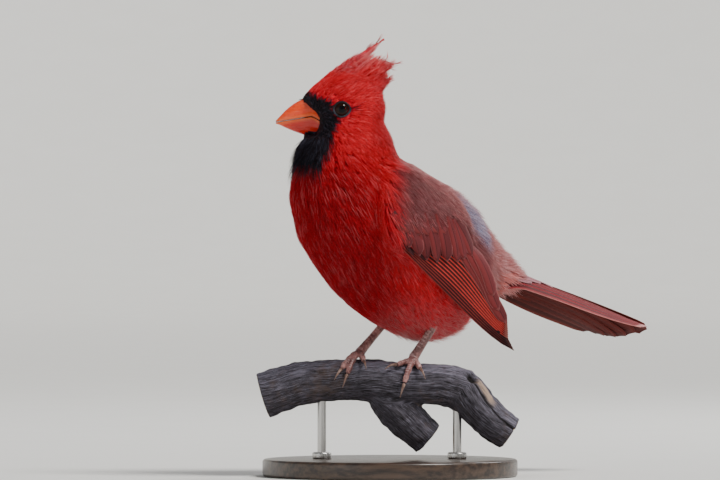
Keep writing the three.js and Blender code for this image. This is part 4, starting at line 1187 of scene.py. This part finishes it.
def makeLegs():
    legSkin, clawHorn = legMaterial("legSkin"), clawMaterial("clawHorn")
    for name in ("left", "right"):
        ankle, pad = (np.array(p) + (0, 0, birdCare["perchTop"]) for p in legCare[name])
        leg = softCopy([f"shin_{name}", f"foot_{name}"], f"leg_{name}", 0.32 * mm, 0.27 * mm, 5)
        mesh = leg.data
        points, facing = meshPoints(mesh) / mm, meshPoints(mesh, "normal")
        axis = (ankle - pad) / np.linalg.norm(ankle - pad)
        up = (points - pad) @ axis
        reach = np.linalg.norm(points - pad, axis=1)
        onShin = step(up, 3.0, 5.0)
        band = np.where(onShin > 0.5, up / legCare["shinBand"], reach / legCare["toeBand"])
        top = np.clip(blend(facing[:, 2], -facing[:, 0] * 0.8 - facing[:, 1] * 0.5, onShin), 0, 1)
        scute = np.clip((1 - band % 1.0) * 1.3 - 0.2, 0, 1) * step(top, 0.0, 0.5)
        putPoints(mesh, (points + facing * (legCare["scute"] * (scute - 0.6))[:, None]) * mm)
        putValues(mesh, "scute", scute * dice.uniform(0.6, 1.0))
        smoothed(leg)
        settle(leg, "leg", legSkin, f"shin_{name}", f"foot_{name}")
        for toe in ("inner", "middle", "outer", "hind"):
            claw = softCopy([f"claw_{name}_{toe}"], f"nail_{name}_{toe}", 0.06 * mm, 0.13 * mm, 3)
            smoothed(claw)
            settle(claw, "claw", clawHorn, f"claw_{name}_{toe}")

makeLegs()
print("legs and claws")


# Perch: weathered wood with the grain running along it, lighter on top with painted light

perchCare = {
    "limb": ((-58, 1.5, -15.2), (-41, 0.6, -10.2), (-23, 0, -7.7), (-7, 0, -8.7), (9, 0, -10.2),
             (22.5, 0, -10.2), (32.6, 0.4, -12.2), (40.4, 1, -21.2), (47.6, 1.8, -28.3), (54.4, 2.6, -32.9)),
    "fork": ((-6, 0, -12), (2.5, 1, -21), (11, 2.4, -29.5), (17.4, 3.4, -35)),
    "voxel": 0.62, "ridge": 0.3, "knot": (37.6, -6.0, -6.8), "knotSize": 4.0,
}

# For each point, its gap to the line, how far along that is, the nearest place and the line's way there.
def alongLine(points, line):
    best = np.full(len(points), 1e9)
    run, way = np.zeros(len(points)), np.zeros((len(points), 3))
    spot, total = np.zeros((len(points), 3)), 0.0
    for a, b in zip(np.array(line, float), np.array(line[1:], float)):
        span = np.linalg.norm(b - a)
        t = np.clip((points - a) @ (b - a) / span ** 2, 0, 1)
        near = a + t[:, None] * (b - a)
        gap = np.linalg.norm(points - near, axis=1)
        nearer = gap < best
        best = np.where(nearer, gap, best)
        run = np.where(nearer, total + t * span, run)
        spot = np.where(nearer[:, None], near, spot)
        way = np.where(nearer[:, None], (b - a) / span, way)
        total += span
    return best, run, spot, way

def woodMaterial(name):
    material, tree, shader = newMaterial(name, Roughness=0.8, Specular_IOR_Level=0.25)
    grain = node(tree, "ShaderNodeCombineXYZ")
    for socket, key in zip(grain.inputs, ("grainRound", "grainAlong", "limb")):
        tree.links.new(attribute(tree, key), socket)
    lines = noisy(tree, grain.outputs[0], 1.0, 6, 0.65)
    made = node(tree, "ShaderNodeVectorMath", operation="MULTIPLY")
    tree.links.new(grain.outputs[0], made.inputs[0])
    made.inputs[1].default_value = (3.2, 2.0, 1.0)
    fineLines = noisy(tree, made.outputs[0], 1.0, 5, 0.6)
    value, fine = mottled(tree, 0.35)
    colour = mixed(tree, ramp(tree, lines, 0.34, 0.66), (0.014, 0.012, 0.014), (0.105, 0.094, 0.118))
    colour = mixed(tree, ramp(tree, fineLines, 0.54, 0.66, (0.0, 0.75)), colour, (0.30, 0.285, 0.365))
    # Painted light: the upward-facing wood lightened to a lavender grey along the grain's light lines
    paintedTopHighlight = times(tree, attribute(tree, "paintedTopLight"), ramp(tree, lines, 0.42, 0.62, (0.10, 0.85)))
    colour = mixed(tree, paintedTopHighlight, colour, (0.29, 0.275, 0.36))
    colour = mixed(tree, ramp(tree, fineLines, 0.45, 0.34, (0.0, 0.85)), colour, (0.012, 0.010, 0.011))
    colour = mixed(tree, ramp(tree, value, 0.52, 0.66, (0.0, 0.45)), colour, (0.13, 0.085, 0.065))
    colour = mixed(tree, attribute(tree, "scar"), colour, (0.50, 0.36, 0.27))
    # Painted shade: the sunk knot hole, split and grain cracks darkened nearly to black
    colour = mixed(tree, attribute(tree, "hole"), colour, (0.008, 0.006, 0.006))
    ends = mixed(tree, ramp(tree, fine, 0.35, 0.65), (0.36, 0.24, 0.15), (0.50, 0.36, 0.24))
    rings = maths(tree, "SINE", times(tree, attribute(tree, "depth"), 5.0), 0.0)
    ends = mixed(tree, ramp(tree, rings, 0.2, 1.0, (0.0, 0.5)), ends, (0.24, 0.14, 0.08))
    colour = mixed(tree, attribute(tree, "cut"), colour, ends)
    tree.links.new(colour, shader.inputs["Base Color"])
    height = maths(tree, "ADD", lines, times(tree, fineLines, 0.6))
    bumped(tree, shader, height, 0.0005, 0.8)
    return material

def makePerch():
    perch = softCopy(["perch"], "perch_wood", 0.0, perchCare["voxel"] * mm, 5)
    mesh = perch.data
    points, facing = meshPoints(mesh) / mm - (0, 0, birdCare["perchTop"]), meshPoints(mesh, "normal")
    limbGap, limbRun, limbSpot, limbWay = alongLine(points, perchCare["limb"])
    forkGap, forkRun, forkSpot, forkWay = alongLine(points, perchCare["fork"])
    onFork = (forkGap + 0.8 < limbGap) & (points[:, 2] < -19)
    run = np.where(onFork, forkRun + 300, limbRun)
    spot = np.where(onFork[:, None], forkSpot, limbSpot)
    way = np.where(onFork[:, None], forkWay, limbWay)
    away = points - spot
    depth = np.linalg.norm(away, axis=1)
    toViewer = np.array((0.0, -1.0, 0.0))
    front = unit(toViewer - partAlong(toViewer, way))
    high = np.cross(front, way)
    angle = np.arctan2(np.sum(away * high, 1), np.sum(away * front, 1))
    cut = step(np.abs(np.sum(facing * way, 1)), 0.8, 0.93)
    wander = 0.9 * np.sin(run * 0.07) + 0.4 * np.sin(run * 0.19 + 1)
    turn = angle + 0.15 * wander
    spots = np.stack([np.cos(turn) * 9, np.sin(turn) * 9, run * 0.06], 1)
    apart = Vector((7, 3, 1))
    ridges = np.array([noise.noise(p * 0.55) + 0.5 * noise.noise(p * 1.3 + apart)
                       for p in map(Vector, spots)])
    flakes = np.array([noise.noise(Vector(p) * 0.35) for p in points])
    crack = np.clip(1 - np.abs(ridges) / 0.09, 0, 1)
    rough = np.where(onFork, 1.5, 1.0)
    grooves = np.clip(ridges, -0.6, 0.6) - 0.9 * crack * 0.45
    lift = perchCare["ridge"] * rough * grooves + 0.4 * rough * flakes
    knot = np.linalg.norm(points - np.array(perchCare["knot"]), axis=1) / perchCare["knotSize"]
    hole = 1 - step(knot, 0.45, 0.85)
    atKnot = run[np.argmin(knot)]
    scarLine = (angle - angle[np.argmin(knot)] - 0.32 + 0.012 * (run - atKnot)) / 0.3
    scar = (1 - step(np.abs(scarLine), 0.5, 1.0)) * step(run, atKnot, atKnot + 4)
    scar = scar * (1 - step(run, atKnot + 11, atKnot + 17))
    split = (1 - step(np.abs(scarLine + 1.15) / 0.3, 0.3, 1)) * step(run, atKnot, atKnot + 2)
    swell = 0.3 * (1 - step(np.abs(knot - 1.1), 0.1, 0.5))
    lift = lift * (1 - cut) - 2.2 * hole - 0.9 * split + 0.25 * scar + swell
    putPoints(mesh, (points + facing * (lift - 0.15)[:, None] + (0, 0, birdCare["perchTop"])) * mm)
    # The first value is how far each point faces up, for the painted light on top
    values = {
        "paintedTopLight": step(facing[:, 2], 0.1, 0.95), "grainRound": turn * 17.0, "grainAlong": run * 0.09,
        "limb": onFork * 5.0, "scar": scar * 0.8,
        "hole": np.clip(hole + split + 0.55 * crack * (1 - cut), 0, 1), "cut": cut, "depth": depth,
    }
    for key, value in values.items():
        putValues(mesh, key, value)
    smoothed(perch)
    settle(perch, "bark", woodMaterial("greyWood"), "perch")

makePerch()
print("perch")


# Stand: a turned base and two rods with collars

standCare = {
    "radius": 58.0, "height": 8.0, "edge": 1.4, "rod": 2.0, "collar": 4.4, "collarHeight": 3.0,
    "rods": {"front": (-31.0, 0.4), "back": (30.5, 0.4)},
}

def baseMaterial(name):
    material, tree, shader = newMaterial(name, Roughness=0.35, Specular_IOR_Level=0.45, Coat_Weight=0.3,
                                         Coat_Roughness=0.25)
    lines = noisy(tree, objectPlace(tree, (30, 420, 420)), 1.0, 6, 0.6)
    pores = noisy(tree, objectPlace(tree, (160, 2600, 2600)), 1.0, 2)
    colour = mixed(tree, ramp(tree, lines, 0.35, 0.65), (0.020, 0.012, 0.009), (0.075, 0.045, 0.030))
    colour = mixed(tree, ramp(tree, pores, 0.6, 0.75, (0.0, 0.6)), colour, (0.008, 0.005, 0.004))
    tree.links.new(colour, shader.inputs["Base Color"])
    tree.links.new(ramp(tree, pores, 0.4, 0.8, (0.3, 0.5)), shader.inputs["Roughness"])
    bumped(tree, shader, pores, 0.00004)
    return material

def steelMaterial(name):
    material, tree, shader = newMaterial(name, Metallic=1.0, Roughness=0.3)
    brushed = noisy(tree, objectPlace(tree, (3000, 3000, 40)), 1.0, 2)
    tree.links.new(mixed(tree, brushed, (0.46, 0.45, 0.44), (0.66, 0.65, 0.64)), shader.inputs["Base Color"])
    tree.links.new(ramp(tree, brushed, 0.3, 0.7, (0.22, 0.38)), shader.inputs["Roughness"])
    bumped(tree, shader, brushed, 0.00001)
    return material

def cylinder(name, radius, low, high, x=0.0, y=0.0, sides=128, edge=0.0):
    bpy.ops.object.select_all(action="DESELECT")
    bpy.ops.mesh.primitive_cylinder_add(vertices=sides, radius=radius * mm, depth=(high - low) * mm,
                                        location=(x * mm, y * mm, (low + high) / 2 * mm))
    piece = applied(name)
    if edge:
        withModifier(piece, "BEVEL", width=edge * mm, segments=4, limit_method="ANGLE",
                     angle_limit=math.radians(50))
    only(piece)
    bpy.ops.object.shade_smooth_by_angle(angle=math.radians(35))
    return piece

def makeStand():
    base = cylinder("stand_base_wood", standCare["radius"], 0, standCare["height"], edge=standCare["edge"])
    settle(base, "stand_base", baseMaterial("darkWood"), "stand_base")
    steel = steelMaterial("brushedRod")
    foot = standCare["height"]
    for name, (x, y) in standCare["rods"].items():
        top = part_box(f"stand_rod_{name}")[1][2] / mm
        rod = cylinder(f"stand_rod_{name}_steel", standCare["rod"], foot, top, x, y, 48)
        collar = cylinder(f"stand_collar_{name}", standCare["collar"], foot, foot + standCare["collarHeight"],
                          x, y, 64, edge=0.7)
        settle(rod, "stand_rod", steel, f"stand_rod_{name}")
        settle(collar, "stand_rod", steel)

makeStand()
print("stand")


# Stage, lights and camera

# The floor's flat and curved parts and the camera's distance and width of view in m, its middle in mm
stageCare = {"flat": 6.0, "curve": 3.0, "distance": 3.0, "frameWide": 0.32727, "centreX": -13.64,
             "centreZ": 107.45}
lightCare = {"world": 0.20, "sun": 3.5, "sunAngle": 22, "sunWay": (-0.62, 0.42, -1.0), "rim": 8.0,
             "fill": 1.8}

# A round bowl: flat round the model and turned up far behind any camera.
def makeStage():
    bend = np.linspace(0, math.pi / 2, 12)
    flat, curve, sides = stageCare["flat"], stageCare["curve"], 96
    rings = [(flat + curve * math.sin(a), curve * (1 - math.cos(a))) for a in bend]
    around = np.linspace(0, 2 * math.pi, sides, endpoint=False)
    points = [(r * math.cos(a), r * math.sin(a), z) for r, z in rings for a in around] + [(0.0, 0.0, 0.0)]
    tri = [(len(points) - 1, j, (j + 1) % sides) for j in range(sides)]
    for i in range(len(rings) - 1):
        for j in range(sides):
            a, b = i * sides + j, i * sides + (j + 1) % sides
            tri += [(a, b + sides, b), (a, a + sides, b + sides)]
    bowl = newPiece("studioFloor", np.array(points), np.array(tri))
    material, tree, shader = newMaterial("paleFloor", Roughness=0.9, Specular_IOR_Level=0.1)
    _, fine = mottled(tree, 0.02)
    tree.links.new(mixed(tree, fine, (0.80, 0.80, 0.78), (0.84, 0.84, 0.82)), shader.inputs["Base Color"])
    bowl.data.materials.append(material)

def areaLight(name, place, target, size, watts, colour=(1, 1, 1)):
    light = bpy.data.lights.new(name, "AREA")
    light.size, light.energy, light.color = size, watts, colour
    lamp = bpy.data.objects.new(name, light)
    bpy.context.collection.objects.link(lamp)
    lamp.location = place
    lamp.rotation_euler = (Vector(target) - Vector(place)).to_track_quat("-Z", "Y").to_euler()

def makeLights():
    world = bpy.data.worlds.new("paleWorld")
    bpy.context.scene.world = world
    world.use_nodes = True
    world.node_tree.nodes["Background"].inputs["Color"].default_value = (0.90, 0.95, 1.0, 1)
    world.node_tree.nodes["Background"].inputs["Strength"].default_value = lightCare["world"]
    sun = bpy.data.lights.new("key", "SUN")
    sun.energy, sun.angle = lightCare["sun"], math.radians(lightCare["sunAngle"])
    sun.color = (1.0, 0.97, 0.93)
    lamp = bpy.data.objects.new("key", sun)
    bpy.context.collection.objects.link(lamp)
    lamp.rotation_euler = Vector(lightCare["sunWay"]).to_track_quat("-Z", "Y").to_euler()
    middle = (0.0, 0.0, 0.11)
    areaLight("rim", (0.8, 0.9, 0.9), middle, 0.5, lightCare["rim"])
    areaLight("fill", (-1.1, -1.2, 0.5), middle, 0.9, lightCare["fill"], (0.93, 0.97, 1.0))

def makeCamera():
    data = bpy.data.cameras.new("camera")
    data.lens = 36.0 * stageCare["distance"] / stageCare["frameWide"]
    data.sensor_width = 36.0
    data.clip_end = 50.0
    camera = bpy.data.objects.new("camera", data)
    bpy.context.collection.objects.link(camera)
    camera.location = (stageCare["centreX"] * mm, -stageCare["distance"], stageCare["centreZ"] * mm)
    camera.rotation_euler = (math.pi / 2, 0, 0)
    bpy.context.scene.camera = camera

makeStage()
makeLights()
makeCamera()
print("stage, lights and camera")
